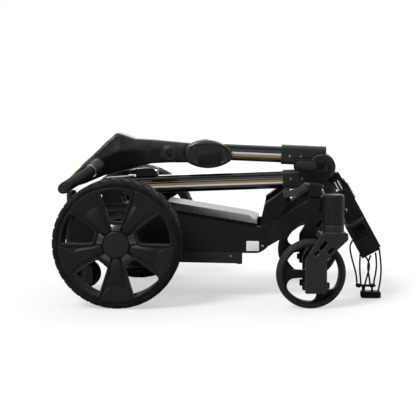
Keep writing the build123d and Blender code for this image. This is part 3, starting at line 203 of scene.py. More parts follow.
# The socket screw is modelled once, with a head of radius 1, and scaled for each copy.
head_depth = 0.6
bpy.ops.object.select_all(action="DESELECT")
bpy.ops.mesh.primitive_cylinder_add(
    vertices=28, radius=1.0, depth=head_depth, location=(0, 0, head_depth / 2))
socket_screw = bpy.context.object
bpy.ops.object.mode_set(mode="EDIT")
bpy.ops.mesh.select_mode(type="FACE")
pick(socket_screw, lambda face: face.normal.z > 0.9)
bpy.ops.mesh.bevel(offset=0.16, segments=3, affect="EDGES")
pick(socket_screw, lambda face: face.normal.z > 0.99)
bpy.ops.mesh.inset(thickness=0.38)
bpy.ops.mesh.extrude_region_move(TRANSFORM_OT_translate={"value": (0, 0, -0.35)})
bpy.ops.object.mode_set(mode="OBJECT")
bpy.ops.object.transform_apply(location=True, rotation=True, scale=True)


def facing_turn(facing):
    # The turn that brings a piece drawn along +Z round to a direction.
    return Vector(facing).to_track_quat("Z", "Y").to_matrix().to_4x4()


def copied(template, move):
    # A copy of a modelled piece, with its own mesh moved to its place.
    piece = template.copy()
    piece.data = template.data.copy()
    bpy.context.scene.collection.objects.link(piece)
    piece.data.transform(move)
    if move.determinant() < 0:
        piece.data.flip_normals()
    return piece


def screw(name, place, facing, radius, body, material=zinc_steel):
    # A copy of the socket screw, its head seated at a place and facing outwards.
    move = Matrix.Translation(place) @ facing_turn(facing) @ Matrix.Scale(radius / 1000, 4)
    settle(copied(socket_screw, move), name, material, body)


def beside(at, y):
    # A point at a depth y, from its place along the trolley and above the floor.
    return spot(at[0], y, at[1])


for side, sign in sides:
    out = (0, sign, 0)
    screw("frame_screw_" + side, beside(frame_screw_at, sign * frame_face), out, radius=2.6, body="chassis")
    screw("rail_screw_" + side, beside(rail_screw_at, sign * frame_face), out, radius=2.0, body="chassis")

# Label film: nearly white, faintly mottled in patches of about 4 mm, with a soft sheen.
vinyl, tree, place = start_material("white_vinyl_film")
mottle = add(tree, "ShaderNodeTexNoise", {"Vector": place, "Scale": 260.0, "Detail": 3.0})
shade = add(tree, "ShaderNodeMix", {
    "Factor": mottle.outputs["Fac"], "A": linear("#f0f0ee"), "B": linear("#fcfcfa")}, data_type="RGBA")
shader = add(tree, "ShaderNodeBsdfPrincipled", {"Base Color": shade.outputs["Result"], "Roughness": 0.42})
add(tree, "ShaderNodeOutputMaterial", {"Surface": shader.outputs["BSDF"]})


def rounded_block(size, corner, edge):
    # A block of a size in millimetres, its corners along Z rounded and its other edges broken.
    bpy.ops.object.select_all(action="DESELECT")
    bpy.ops.mesh.primitive_cube_add(size=1.0)
    block = bpy.context.object
    block.data.transform(Matrix.Diagonal((size[0] / 1000, size[1] / 1000, size[2] / 1000, 1.0)))
    bpy.ops.object.mode_set(mode="EDIT")
    bpy.ops.mesh.select_mode(type="EDGE")
    mesh = bmesh.from_edit_mesh(block.data)
    for line in mesh.edges:
        line.select_set(abs((line.verts[0].co - line.verts[1].co).normalized().z) > 0.9)
    bmesh.update_edit_mesh(block.data)
    bpy.ops.mesh.bevel(offset=corner / 1000, segments=4, affect="EDGES")
    bpy.ops.mesh.select_mode(type="FACE")
    pick(block, lambda face: abs(face.normal.z) > 0.9)
    bpy.ops.mesh.bevel(offset=edge / 1000, segments=2, affect="EDGES")
    bpy.ops.mesh.select_all(action="SELECT")
    bpy.ops.mesh.dissolve_degenerate(threshold=0.000005)
    bpy.ops.object.mode_set(mode="OBJECT")
    return block


def set_block(name, block, move, material, body):
    # A block moved to its place and settled there.
    block.data.transform(move)
    settle(block, name, material, body)


label = rounded_block((29.8, 23.6, 0.4), corner=1.5, edge=0.1)
label_move = Matrix.Translation(beside(label_at, -frame_face)) @ facing_turn((0, -1, 0))
set_block("blank_label", label, label_move, vinyl, "chassis")

# Battery lid: a sloping cover, moulded in polished ABS, that lies over the battery well and overhangs
# the side frames. Its top mirrors the room at a low angle, and its skirt stays black.
lid_abs = moulded("polished_lid_abs", "#0a0a0b", "#38383c",
                  grain_mm=2.2, roughness=0.26, edge_mm=1.6, relief=0.05, shine=0.08)
paint(lid_abs, "battery_lid")

# Gear motors: die-cast cases painted black, each seated by a ribbed flange on its side frame.
# The paint has a soft gloss, and its edges are painted paler, partly as wear and partly as painted highlight.
die_cast = moulded("painted_die_casting", "#121213", "#4a494c",
                   grain_mm=1.6, roughness=0.42, edge_mm=1.2, relief=0.3, shine=0.32)
paint(die_cast, "gearmotor_near", "gearmotor_far")

# Skid bails, anti-tip post with its fork, and the shaft's pivot bracket: bent and turned steel under
# a black powder coat, whose orange peel shows as soft ripples in the gloss.
powder_coat = moulded("black_powder_coat", "#111112", "#3a3a3d",
                      grain_mm=2.6, roughness=0.34, edge_mm=0.8, relief=0.3, shine=0.4)
paint(powder_coat, "skid_bails", "anti_tip_post", "anti_tip_fork", "pivot_bracket")

# Tyres of the drive wheels and the small anti-tip wheel: solid black rubber, vulcanised in a mould
# with slanted lugs and pressed over the rims. They are dull and a little dusty on the tread.
dust_mm = 22.0


def rubber(name, shade, dust, grain_mm, shine):
    # Vulcanised rubber: soft sheen, pitted skin and pale dust in cloudy patches.
    material, tree, place = start_material(name)
    cloud = add(tree, "ShaderNodeTexNoise", {
        "Vector": place, "Scale": 1000 / dust_mm, "Detail": 5.0, "Roughness": 0.6})
    pits = add(tree, "ShaderNodeTexNoise", {"Vector": place, "Scale": 1000 / grain_mm, "Detail": 3.0})
    mask = add(tree, "ShaderNodeMapRange", {
        "Value": cloud.outputs["Fac"], "From Min": 0.45, "From Max": 0.8})
    color = add(tree, "ShaderNodeMix", {
        "Factor": mask.outputs["Result"], "A": linear(shade), "B": linear(dust)}, data_type="RGBA")
    rounded = add(tree, "ShaderNodeBevel", {"Radius": 0.0012}, samples=6)
    bump = add(tree, "ShaderNodeBump", {
        "Height": pits.outputs["Fac"], "Strength": 0.4, "Distance": 0.0004,
        "Normal": rounded.outputs["Normal"]})
    shader = add(tree, "ShaderNodeBsdfPrincipled", {
        "Base Color": color.outputs["Result"], "Roughness": 0.7, "IOR": 1.52, "Specular IOR Level": shine,
        "Normal": bump.outputs["Normal"]})
    add(tree, "ShaderNodeOutputMaterial", {"Surface": shader.outputs["BSDF"]})
    return material


tread_rubber = rubber("tread_rubber", "#0c0c0c", "#262524", grain_mm=1.5, shine=0.14)
paint(tread_rubber, "drive_tyre_near", "drive_tyre_far", "anti_tip_wheel")

# Drive wheel rims, caps and axles: grained nylon rims, a smoother plain cap, ground steel axles.
# A ridged rib runs out along each spoke, and a polished flank slopes from the cap to each window.
wheel_face = 275.0
wheel_height = 147.5
spoke_count = 5
wedge_round = 0.6
flank_ends = ((31.0, 9.0, 2.0, 9.0, 14.0), (52.0, 14.0, 12.5, 14.0, 14.0))
rib_ends = ((33.0, 6.0, 5.4, 12.5, 11.0), (96.0, 13.0, 2.8, 24.0, 6.0))
# The rims are dull with broad edges painted paler as wear and painted highlight, the caps satin, and the
# flanks bright enough to mirror the room.
rim_nylon = moulded("grained_rim_nylon", "#111112", "#454447",
                    grain_mm=1.4, roughness=0.5, edge_mm=2.0, relief=0.4, shine=0.26)
cap_abs = moulded("satin_cap_abs", "#161617", "#3d3d40",
                  grain_mm=1.0, roughness=0.36, edge_mm=1.0, relief=0.12, shine=0.34)
flank_abs = moulded("polished_hub_flank", "#26262a", "#5c5c62",
                    grain_mm=1.2, roughness=0.24, edge_mm=0.8, relief=0.08, shine=0.9)
ground_steel = turned_steel("ground_axle_steel", "#b9bcc2", 0.32)
paint(rim_nylon, "drive_rim_near", "drive_rim_far")
paint(cap_abs, "hub_cap_near", "hub_cap_far")
paint(ground_steel, "drive_axle_near", "drive_axle_far", "pivot_pin")


def round_the_hubs(template, name, first_turn, material):
    # Copies of a piece, one for each spoke or window, spread round the hub of both drive wheels.
    for side, sign in sides:
        hub = Matrix.Translation(spot(0, sign * wheel_face, wheel_height))
        seat = hub @ Matrix.Diagonal((1, -sign, 1, 1))
        for number in range(spoke_count):
            turn = Matrix.Rotation(math.radians(first_turn + 360 / spoke_count * number), 4, "Y")
            piece = copied(template, seat @ turn)
            settle(piece, "%s_%s_%d" % (name, side, number), material, "drive_wheel_" + side)
    bpy.data.objects.remove(template)


def wedge(ends):
    # A wedge that stands out from the hub. Each end gives its reach, then the half width and the depth
    # of its front edge, then those of its back edge, in millimetres.
    bpy.ops.object.select_all(action="DESELECT")
    bpy.ops.mesh.primitive_cube_add(size=1.0)
    piece = bpy.context.object
    bpy.ops.object.mode_set(mode="EDIT")
    mesh = bmesh.from_edit_mesh(piece.data)
    for vert in mesh.verts:
        reach, front_half, front, back_half, back = ends[1] if vert.co.z > 0 else ends[0]
        half, depth = (back_half, back) if vert.co.y > 0 else (front_half, front)
        vert.co = Vector((math.copysign(half, vert.co.x), depth, reach)) / 1000
    bmesh.update_edit_mesh(piece.data)
    bpy.ops.mesh.select_all(action="SELECT")
    bpy.ops.mesh.bevel(offset=wedge_round / 1000, segments=2, affect="EDGES")
    bpy.ops.object.mode_set(mode="OBJECT")
    return piece


round_the_hubs(wedge(flank_ends), "hub_flank", 0.0, flank_abs)
round_the_hubs(wedge(rib_ends), "spoke_rib", 180 / spoke_count, rim_nylon)

# Window lips: a rounded bead around each rim window, moulded with the rim and standing above its dish,
# so that light runs along it. One is drawn flat, laid on the cone of the dish and copied round the hub.
lip_low = (18.8, 47.0)
lip_high = (44.1, 122.3)
lip_middle = 100.0
lip_radius = 130.0
lip_corner = 9.0
corner_slack = 1.2
lip_width = 5.4
lip_front = 2.8
lip_round = 1.6
dish_hub = 34.0
dish_depth = 10.0
dish_fall = 8.0
dish_span = 93.0


def apply_modifier(piece, kind, **values):
    # Finish the active piece with one modifier, put into its mesh.
    step = piece.modifiers.new(kind, kind)
    for key, value in values.items():
        setattr(step, key, value)
    bpy.ops.object.modifier_apply(modifier=kind)


bpy.ops.object.select_all(action="DESELECT")
bpy.ops.mesh.primitive_plane_add(size=2.0)
lip = bpy.context.object
bpy.ops.object.mode_set(mode="EDIT")
bpy.ops.mesh.select_mode(type="EDGE")
bpy.ops.mesh.select_all(action="DESELECT")
mesh = bmesh.from_edit_mesh(lip.data)
for line in mesh.edges:
    line.select_set(line.verts[0].co.y > 0 and line.verts[1].co.y > 0)
for vert in mesh.verts:
    half, reach = lip_high if vert.co.y > 0 else lip_low
    vert.co = Vector((math.copysign(half, vert.co.x), 0, reach)) / 1000
bmesh.update_edit_mesh(lip.data)
bpy.ops.mesh.subdivide(number_cuts=7)
mesh = bmesh.from_edit_mesh(lip.data)
bpy.ops.mesh.select_mode(type="VERT")
for vert in mesh.verts:
    if vert.co.z > lip_middle / 1000:
        vert.co = vert.co.normalized() * lip_radius / 1000
    high_corner = abs(abs(vert.co.x) - lip_high[0] / 1000) < corner_slack / 1000
    vert.select_set(high_corner or vert.co.z < lip_middle / 1000)
bmesh.update_edit_mesh(lip.data)
bpy.ops.mesh.bevel(offset=lip_corner / 1000, segments=5, affect="VERTICES")
bpy.ops.mesh.select_mode(type="FACE")
bpy.ops.mesh.select_all(action="SELECT")
bpy.ops.mesh.inset(thickness=lip_width / 1000)
bpy.ops.mesh.delete(type="FACE")
mesh = bmesh.from_edit_mesh(lip.data)
for vert in mesh.verts:
    vert.co.y = (dish_depth - dish_fall * (vert.co.length * 1000 - dish_hub) / dish_span) / 1000
bmesh.update_edit_mesh(lip.data)
bpy.ops.mesh.select_all(action="SELECT")
bpy.ops.mesh.normals_make_consistent(inside=False)
bpy.ops.object.mode_set(mode="OBJECT")
apply_modifier(lip, "SOLIDIFY", thickness=2 * lip_front / 1000, offset=0.0)
apply_modifier(lip, "BEVEL", width=lip_round / 1000, segments=3, angle_limit=math.radians(50))
round_the_hubs(lip, "window_lip", 0.0, rim_nylon)

# Front barrels and crossbeam: painted castings on the ends of the arms that carry the casters.
# A bright pinch bolt in the front of each barrel clamps the caster's bearing.
pivot_x = 490.0
pivot_y = 226.0
bolt_x = pivot_x + 28.4
bolt_z = 224.0
paint(die_cast, "caster_barrel_near", "caster_barrel_far", "front_crossbeam")
for side, sign in sides:
    screw("barrel_bolt_" + side, spot(bolt_x, sign * pivot_y, bolt_z), (1, 0, 0), radius=3.0, body="chassis")

# Casters: a satin casting swivels under each barrel and holds a three-spoke wheel with a ring tyre.
# Small lugs at the foot of each leg lock the axle.
caster_swivels = (("near", -1, 7.0), ("far", 1, 14.0))
leg_half = 25.0
lug_height = 56.0
lug_ends = (("rear", -67.0), ("front", -17.0))
# The fork's satin paint shows its form by broad highlights; wheel and tyre stay darker and duller.
fork_cast = moulded("satin_fork_casting", "#18181a", "#5a595c",
                    grain_mm=1.8, roughness=0.4, edge_mm=2.4, relief=0.25, shine=0.46)
caster_nylon = moulded("caster_wheel_nylon", "#0c0c0d", "#343336",
                       grain_mm=1.4, roughness=0.5, edge_mm=1.4, relief=0.3, shine=0.2)
caster_rubber = rubber("caster_tyre_rubber", "#1a1a1a", "#2a2929", grain_mm=1.3, shine=0.3)
paint(fork_cast, "caster_fork_near", "caster_fork_far")
paint(caster_nylon, "caster_rim_near", "caster_rim_far")
paint(caster_rubber, "caster_tyre_near", "caster_tyre_far")
paint(ground_steel, "caster_axle_near", "caster_axle_far")
lug = rounded_block((11.0, 6.6, 15.0), corner=2.0, edge=1.6)
for side, sign, swivel in caster_swivels:
    pivot = Matrix.Translation(spot(pivot_x, sign * pivot_y, 0))
    pivot = pivot @ Matrix.Rotation(math.radians(swivel), 4, "Z")
    for leg, leg_y in (("outer", sign * leg_half), ("inner", sign * -leg_half)):
        for end, lug_x in lug_ends:
            foot = Matrix.Translation(Vector((lug_x, leg_y, lug_height)) / 1000)
            piece = copied(lug, pivot @ foot)
            settle(piece, "fork_lug_%s_%s_%s" % (side, leg, end), fork_cast, "caster_" + side)
bpy.data.objects.remove(lug)

# Lower bag cradle: soft nylon wings on the front of the side frames, and the grey link of the strap,
# which a single socket screw holds to the near wing.
# The link's grey is pale enough to stand out from the wing, with a soft gloss from handling.
grey_nylon = moulded("grey_buckle_nylon", "#343436", "#7d7c80",
                     grain_mm=1.2, roughness=0.4, edge_mm=1.6, relief=0.2, shine=0.45)
paint(nylon, "lower_cradle")
paint(grey_nylon, "strap_buckle")
screw("buckle_screw", spot(384.0, -132.0, 250.0), (0, -1, 0), radius=3.4, body="chassis")

# Bag strap: woven polyester webbing, folded over the bar of its link with the short end sewn in front,
# so that the long end hangs beside the barrel. It is one strip, 28 mm wide, drawn in short pulls.
strap_width = 0.028
strap_thick = 0.0016
strap_bar = spot(450.0, -224.0, 279.0)
strap_lean = math.radians(7)
strap_start = (-0.0074, -0.024)
first_pull = 0.006
strap_pulls = [(0.0012, 0.010), (0.0008, 0.008), (0.0014, 0.0036), (0.0040, 0.0020), (0.0040, -0.0020),
               (0.0012, -0.0036), (-0.0030, -0.010), (-0.0042, -0.010), (-0.0022, -0.012), (-0.0006, -0.015),
               (0.0004, -0.016), (0.0010, -0.016), (0.0022, -0.015), (0.0042, -0.014), (0.0080, -0.011),
               (0.0120, -0.009)]
weft_mm = 2.4
warp_mm = 3.0
# Crossed ridges of thread give a dull black with a faint rib, drawn coarser than real thread to show.
webbing, tree, place = start_material("woven_polyester_webbing")
across = add(tree, "ShaderNodeTexWave", {
    "Vector": place, "Scale": 1000 / weft_mm / 2, "Distortion": 0.4, "Detail": 1.0}, bands_direction="Z")
along = add(tree, "ShaderNodeTexWave", {
    "Vector": place, "Scale": 1000 / warp_mm / 2, "Distortion": 0.3, "Detail": 1.0}, bands_direction="X")
weave = add(tree, "ShaderNodeMath", {
    0: across.outputs["Fac"], 1: along.outputs["Fac"]}, operation="MULTIPLY")
tint = add(tree, "ShaderNodeMix", {
    "Factor": weave.outputs["Value"], "A": linear("#0b0b0c"), "B": linear("#1e1e1f")}, data_type="RGBA")
bump = add(tree, "ShaderNodeBump", {"Height": weave.outputs["Value"], "Strength": 0.5, "Distance": 0.0004})
shader = add(tree, "ShaderNodeBsdfPrincipled", {
    "Base Color": tint.outputs["Result"], "Roughness": 0.85, "Specular IOR Level": 0.2,
    "Sheen Weight": 0.05, "Sheen Roughness": 0.5, "Normal": bump.outputs["Normal"]})
add(tree, "ShaderNodeOutputMaterial", {"Surface": shader.outputs["BSDF"]})
bpy.ops.object.select_all(action="DESELECT")
bpy.ops.mesh.primitive_plane_add(size=strap_width, location=strap_bar)
strap = bpy.context.object
bpy.ops.object.transform_apply(location=True, rotation=True, scale=True)
bpy.ops.object.mode_set(mode="EDIT")
bpy.ops.mesh.select_mode(type="EDGE")
bpy.ops.mesh.select_all(action="DESELECT")
mesh = bmesh.from_edit_mesh(strap.data)
for line in mesh.edges:
    middle = (line.verts[0].co + line.verts[1].co) / 2
    line.select_set(middle.y > strap_bar.y + 0.4 * strap_width)
for vert in mesh.verts:
    vert.co.z = strap_bar.z + strap_start[1] + (first_pull if vert.co.y > strap_bar.y else 0.0)
    vert.co.y = strap_bar.y + strap_start[0]
bmesh.update_edit_mesh(strap.data)
for step_y, step_z in strap_pulls:
    bpy.ops.mesh.extrude_region_move(TRANSFORM_OT_translate={"value": (0, step_y, step_z)})
bpy.ops.mesh.select_all(action="SELECT")
bpy.ops.transform.rotate(value=-strap_lean, orient_axis="Y", center_override=strap_bar)
bpy.ops.object.mode_set(mode="OBJECT")
apply_modifier(strap, "SUBSURF", levels=2, render_levels=2)
apply_modifier(strap, "SOLIDIFY", thickness=strap_thick, offset=0.0)
settle(strap, "strap_webbing", webbing, "chassis")
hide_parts("bag_strap")

# Lower shaft: an extruded aluminium tube, anodised gloss black, with a gold inlay along each side between a
# steel lip above and a near-white lip below, whose white is painted highlight. It is pinned in a cast base
# sleeve at the rear and in the knuckle at the front.
tube_face = 17.0
lower_ends = ((20.0, 260.6), (376.0, 274.9))
# Clear-sealed anodising mirrors the room like black glass, with faint draw lines along the tube.
anodised, tree, place = start_material("gloss_black_anodised_aluminium")
stretch = add(tree, "ShaderNodeMapping", {"Vector": place, "Scale": (20, 900, 900)})
draw = add(tree, "ShaderNodeTexNoise", {"Vector": stretch.outputs["Vector"], "Scale": 1.0, "Detail": 2.0})
rough = add(tree, "ShaderNodeMapRange", {"Value": draw.outputs["Fac"], "To Min": 0.08, "To Max": 0.18})
bump = add(tree, "ShaderNodeBump", {"Height": draw.outputs["Fac"], "Strength": 0.05, "Distance": 0.0002})
shader = add(tree, "ShaderNodeBsdfPrincipled", {
    "Base Color": linear("#0d0d0f"), "Metallic": 0.0, "Roughness": rough.outputs["Result"], "IOR": 1.7,
    "Coat Weight": 0.5, "Coat Roughness": 0.05, "Normal": bump.outputs["Normal"]})
add(tree, "ShaderNodeOutputMaterial", {"Surface": shader.outputs["BSDF"]})
paint(anodised, "lower_tube", "upper_tube")
# Painted castings with a satin face, and wide edges painted pale as wear and painted highlight.
sleeve_cast = moulded("satin_sleeve_casting", "#1c1c1e", "#565559",
                      grain_mm=1.6, roughness=0.36, edge_mm=3.0, relief=0.2, shine=0.5)
paint(sleeve_cast, "base_sleeve", "lower_knuckle", "upper_knuckle")
# The lips' near-white colour is a painted highlight that draws the tube's thin white highlight lines; their
# roughness varies in patches of 2.5 mm.
white_lip_painted_highlight, tree, place = start_material("white_lip_painted_highlight_finish")
dip = add(tree, "ShaderNodeTexNoise", {"Vector": place, "Scale": 1000 / 2.5, "Detail": 2.0})
rough = add(tree, "ShaderNodeMapRange", {"Value": dip.outputs["Fac"], "To Min": 0.16, "To Max": 0.3})
shader = add(tree, "ShaderNodeBsdfPrincipled", {
    "Base Color": linear("#f4f4f7"), "Metallic": 0.3, "Roughness": rough.outputs["Result"]})
add(tree, "ShaderNodeOutputMaterial", {"Surface": shader.outputs["BSDF"]})
# Gold dye under a satin brush of about 1.4 mm keeps its colour without a mirror.
gold_foil, tree, place = start_material("satin_gold_anodised")
brush = add(tree, "ShaderNodeTexNoise", {"Vector": place, "Scale": 700.0, "Detail": 2.0})
rough = add(tree, "ShaderNodeMapRange", {"Value": brush.outputs["Fac"], "To Min": 0.26, "To Max": 0.42})
tint = add(tree, "ShaderNodeMix", {
    "Factor": brush.outputs["Fac"], "A": linear("#a9854a"), "B": linear("#cdae76")}, data_type="RGBA")
shader = add(tree, "ShaderNodeBsdfPrincipled", {
    "Base Color": tint.outputs["Result"], "Metallic": 0.55, "Roughness": rough.outputs["Result"]})
add(tree, "ShaderNodeOutputMaterial", {"Surface": shader.outputs["BSDF"]})


def inlay(name, start, end, width, lift, material, body):
    # A thin strip laid from start to end, sizes in millimetres, with its long edges broken.
    run = end - start
    strip = rounded_block((run.length * 1000, lift, width), corner=lift * 0.3, edge=lift * 0.2)
    turn = run.to_track_quat("X", "Z").to_matrix().to_4x4()
    set_block(name, strip, Matrix.Translation((start + end) / 2) @ turn, material, body)


def tube_stripes(tube, ends, stripes, body):
    # The strips along both sides of a tube, each with its rise above the middle line, width and lift.
    (start_x, start_z), (end_x, end_z) = ends
    for side, sign in sides:
        for part, rise, width, lift, material in stripes:
            inlay("%s_%s_%s" % (tube, part, side), spot(start_x, sign * tube_face, start_z + rise),
                  spot(end_x, sign * tube_face, end_z + rise), width, lift, material, body)


# The low lip is near-white, a painted highlight below the gold; the high lip is steel.
lower_stripes = (("gold", 0.0, 5.0, 1.0, gold_foil), ("lip_high", 6.0, 1.2, 0.8, ground_steel),
                 ("lip_low", -4.9, 4.2, 0.8, white_lip_painted_highlight))
tube_stripes("lower", lower_ends, lower_stripes, "lower_shaft")

# Fold catch on top of the lower tube: a nylon body and finger bar with a wire bail over them
# and a bright collar at the nose, which latches the folded shaft.
tube_slope = math.radians(2.3)
shaft_run = Vector((math.cos(tube_slope), 0, math.sin(tube_slope)))
bail_route = [(66, -14, 296), (58, -15, 303), (44, -15, 304), (24, -15, 302), (8, -15, 299), (1, -12, 296),
              (1, 0, 296), (1, 12, 296), (8, 15, 299), (24, 15, 302), (44, 15, 304), (58, 15, 303),
              (66, 14, 296)]
paint(nylon, "fold_catch")


def ring(name, seat, facing, outer, inner, depth, material, body):
    # A flat ring, sizes in millimetres, its back seated at a place and its face looking outwards.
    edge = min(0.25 * depth, 0.2 * (outer - inner))
    bpy.ops.object.select_all(action="DESELECT")
    bpy.ops.mesh.primitive_cylinder_add(vertices=48, radius=outer / 1000, depth=depth / 1000)
    piece = bpy.context.object
    bpy.ops.object.mode_set(mode="EDIT")
    bpy.ops.mesh.select_mode(type="FACE")
    pick(piece, lambda face: abs(face.normal.z) > 0.9)
    bpy.ops.mesh.bevel(offset=edge / 1000, segments=2, affect="EDGES")
    pick(piece, lambda face: abs(face.normal.z) > 0.99)
    bpy.ops.mesh.inset(thickness=(outer - inner - edge) / 1000)
    bpy.ops.mesh.bridge_edge_loops()
    bpy.ops.object.mode_set(mode="OBJECT")
    lift = Matrix.Translation((0, 0, depth / 2000))
    piece.data.transform(Matrix.Translation(seat) @ facing_turn(facing) @ lift)
    settle(piece, name, material, body)


chrome = turned_steel("bright_chrome", "#e2e4e8", 0.14)
ring("catch_collar", spot(65.4, 0, 293.4), shaft_run, outer=11.0, inner=7.9, depth=6.6,
     material=chrome, body="lower_shaft")


def bent_tube(name, points, radius, roundness):
    # A round tube, its radius in millimetres, bent smoothly along a row of points and closed at its ends.
    line = bpy.data.curves.new(name, "CURVE")
    line.dimensions = "3D"
    line.bevel_depth = radius / 1000
    line.bevel_resolution = roundness
    line.resolution_u = 8
    line.use_fill_caps = True
    spline = line.splines.new("NURBS")
    spline.points.add(len(points) - 1)
    for point, (x, y, z) in zip(spline.points, points):
        point.co = (*spot(x, y, z), 1.0)
    spline.order_u = 3
    spline.use_endpoint_u = True
    piece = bpy.data.objects.new(name, line)
    bpy.context.scene.collection.objects.link(piece)
    return piece


def wire(name, points, radius, material, body):
    # A bent wire or bead, made a mesh with closed ends.
    piece = bent_tube(name, points, radius, roundness=3)
    bpy.ops.object.select_all(action="DESELECT")
    piece.select_set(True)
    bpy.context.view_layer.objects.active = piece
    bpy.ops.object.convert(target="MESH")
    bpy.ops.object.mode_set(mode="EDIT")
    bpy.ops.mesh.select_all(action="SELECT")
    bpy.ops.mesh.remove_doubles(threshold=0.00001)
    bpy.ops.object.mode_set(mode="OBJECT")
    settle(bpy.context.object, name, material, body)


wire("catch_bail", bail_route, radius=1.7, material=ground_steel, body="lower_shaft")

# Knuckle, fold pin and quick-release lever: castings clamped by a steel pin, opened by the lever, which
# has a soft rubber pad. A satin ring covers the bearing on each side, and socket screws hold the tubes.
fold_x = 470.0
fold_z = 308.0
knuckle_face = 30.0
sleeve_face = 19.5
pad_place = (431.0, -47.4, 313.2)
lower_screws = ((394.6, 278.6), (422.3, 279.6))
upper_screws = ((391.9, 334.0), (418.8, 333.0))
# The lever is dull moulded nylon with edges painted paler as wear and painted highlight, the cover rings are
# satin, the pad a soft even black.
lever_nylon = moulded("lever_nylon", "#0d0d0e", "#363538",
                      grain_mm=1.2, roughness=0.46, edge_mm=2.4, relief=0.3, shine=0.24)
ring_satin = moulded("satin_cover_ring", "#1d1d1f", "#58575b",
                     grain_mm=1.4, roughness=0.38, edge_mm=1.0, relief=0.15, shine=0.5)
pad_rubber = rubber("soft_touch_lever_pad", "#121213", "#1d1d1e", grain_mm=1.2, shine=0.45)
paint(lever_nylon, "knuckle_lever")
paint(powder_coat, "fold_pin")
lever_pad = rounded_block((52.0, 22.0, 7.0), corner=10.0, edge=2.8)
pad_tilt = Matrix.Rotation(math.radians(4.9), 4, "Y")
pad_move = Matrix.Translation(spot(*pad_place)) @ pad_tilt @ facing_turn((0, -1, 0))
set_block("lever_pad", lever_pad, pad_move, pad_rubber, "fold_lever")
for side, sign in sides:
    ring("knuckle_ring_" + side, spot(fold_x, sign * knuckle_face, fold_z), (0, sign, 0),
         outer=31.0, inner=24.5, depth=1.8, material=ring_satin, body="lower_shaft")
    for shaft, places in (("lower", lower_screws), ("upper", upper_screws)):
        for number, at in enumerate(places):
            screw("%s_sleeve_screw_%s_%d" % (shaft, side, number), beside(at, sign * sleeve_face),
                  (0, sign, 0), radius=2.3, body=shaft + "_shaft")

# Upper bag cradle: a nylon arm below the knuckle, with a V-shaped rest and a toothed spine plate.
# Two bright spring strips on each side of the arm hold the spine; their near-white colour is the lips'
# painted highlight.
cradle_slope = math.radians(61.3)
spring_top = 46.0
spring_foot = 70.0
spring_face = 22.2
paint(nylon, "cradle_arm", "cradle_rest", "cradle_spine")


def on_cradle(along, out, y):
    # A point on the cradle's own slope, from the knuckle down the arm and outwards from it.
    return spot(fold_x + math.cos(cradle_slope) * along + math.sin(cradle_slope) * out, y,
                fold_z - math.sin(cradle_slope) * along + math.cos(cradle_slope) * out)


for side, sign in sides:
    for number, out in enumerate((9.0, 17.0)):
        inlay("spine_spring_%s_%d" % (side, number), on_cradle(spring_top, out, sign * spring_face),
              on_cradle(spring_foot, out, sign * spring_face), width=3.0, lift=1.0,
              material=white_lip_painted_highlight, body="lower_shaft")

# Bungee cords: elastic cord with a black braided cover, hanging in three loops from the cradle rest,
# with a moulded hook block on their ends.
braid_mm = 2.6
cord_radius = 2.1
cord_routes = {
    "bungee_loop_left": (-88, 0.2084, [
        (544.0, 141.0), (536.5, 133.0), (535.0, 118.0), (540.0, 95.0), (547.0, 72.0), (551.5, 52.0),
        (552.5, 38.0), (552.5, 27.5), (561.7, 27.5), (561.7, 40.0), (559.3, 62.0), (558.6, 86.0),
        (560.0, 112.0)]),
    "bungee_loop_right": (-88, 0.1662, [
        (584.5, 103.5), (580.0, 92.0), (577.5, 76.0), (580.0, 58.0), (583.0, 42.0), (583.3, 27.5),
        (592.6, 27.5), (592.8, 42.0), (597.0, 62.0), (599.0, 86.0), (595.5, 110.0)]),
    "bungee_loop_outer": (-81, 0.2266, [
        (573.0, 99.0), (580.5, 88.0), (582.5, 74.0), (577.0, 52.0), (571.0, 30.0), (570.0, 10.0),
        (588.0, 9.0), (602.0, 11.0), (606.5, 30.0), (609.5, 54.0), (610.0, 80.0), (605.0, 117.0)]),
}
# The braid is a dull black with slanting ridges, drawn coarser than the real thread so that it shows.
cord_cover, tree, place = start_material("braided_elastic_cord")
braid = add(tree, "ShaderNodeTexWave", {
    "Vector": place, "Scale": 1000 / braid_mm / 2, "Distortion": 0.5}, bands_direction="DIAGONAL")
tint = add(tree, "ShaderNodeMix", {
    "Factor": braid.outputs["Fac"], "A": linear("#0f0f0f"), "B": linear("#252526")}, data_type="RGBA")
bump = add(tree, "ShaderNodeBump", {"Height": braid.outputs["Fac"], "Strength": 0.35, "Distance": 0.0003})
shader = add(tree, "ShaderNodeBsdfPrincipled", {
    "Base Color": tint.outputs["Result"], "Roughness": 0.75, "Specular IOR Level": 0.25,
    "Normal": bump.outputs["Normal"]})
add(tree, "ShaderNodeOutputMaterial", {"Surface": shader.outputs["BSDF"]})
paint(frame_nylon, "bungee_hook")
for name, (depth, length, route) in cord_routes.items():
    cord = bent_tube(name + "_cord", [(x, depth, z) for x, z in route], cord_radius, roundness=4)
    cord.data.materials.append(cord_cover)
    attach(cord, "lower_shaft")
    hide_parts(name)

# Upper shaft: a shorter tube like the lower one, clamped by two moulded adjuster shells. Each shell has
# a grained plate and a gloss brow set in its face, and its screws sit deep in their holes.
upper_ends = ((251.0, 336.6), (374.0, 331.7))
shell_face = 32.0
screw_depth = 5.0
shell_screws = ((162.0, 356.0), (233.0, 354.0), (233.0, 317.0))
brow_face = 30.6
brow_route = [(143.0, 341.0), (147.0, 350.0), (156.0, 359.0), (172.0, 364.0), (194.0, 366.0), (216.0, 364.0),
              (232.0, 359.0), (242.0, 352.0), (246.0, 344.0)]
plate_at = (199.0, 329.0)
plate_face = shell_face - 0.9
# The lip above the gold is near-white, a painted highlight.
upper_stripes = (("gold", 0.0, 5.4, 1.0, gold_foil), ("lip_high", 5.2, 4.2, 0.8, white_lip_painted_highlight))
tube_stripes("upper", upper_ends, upper_stripes, "upper_shaft")
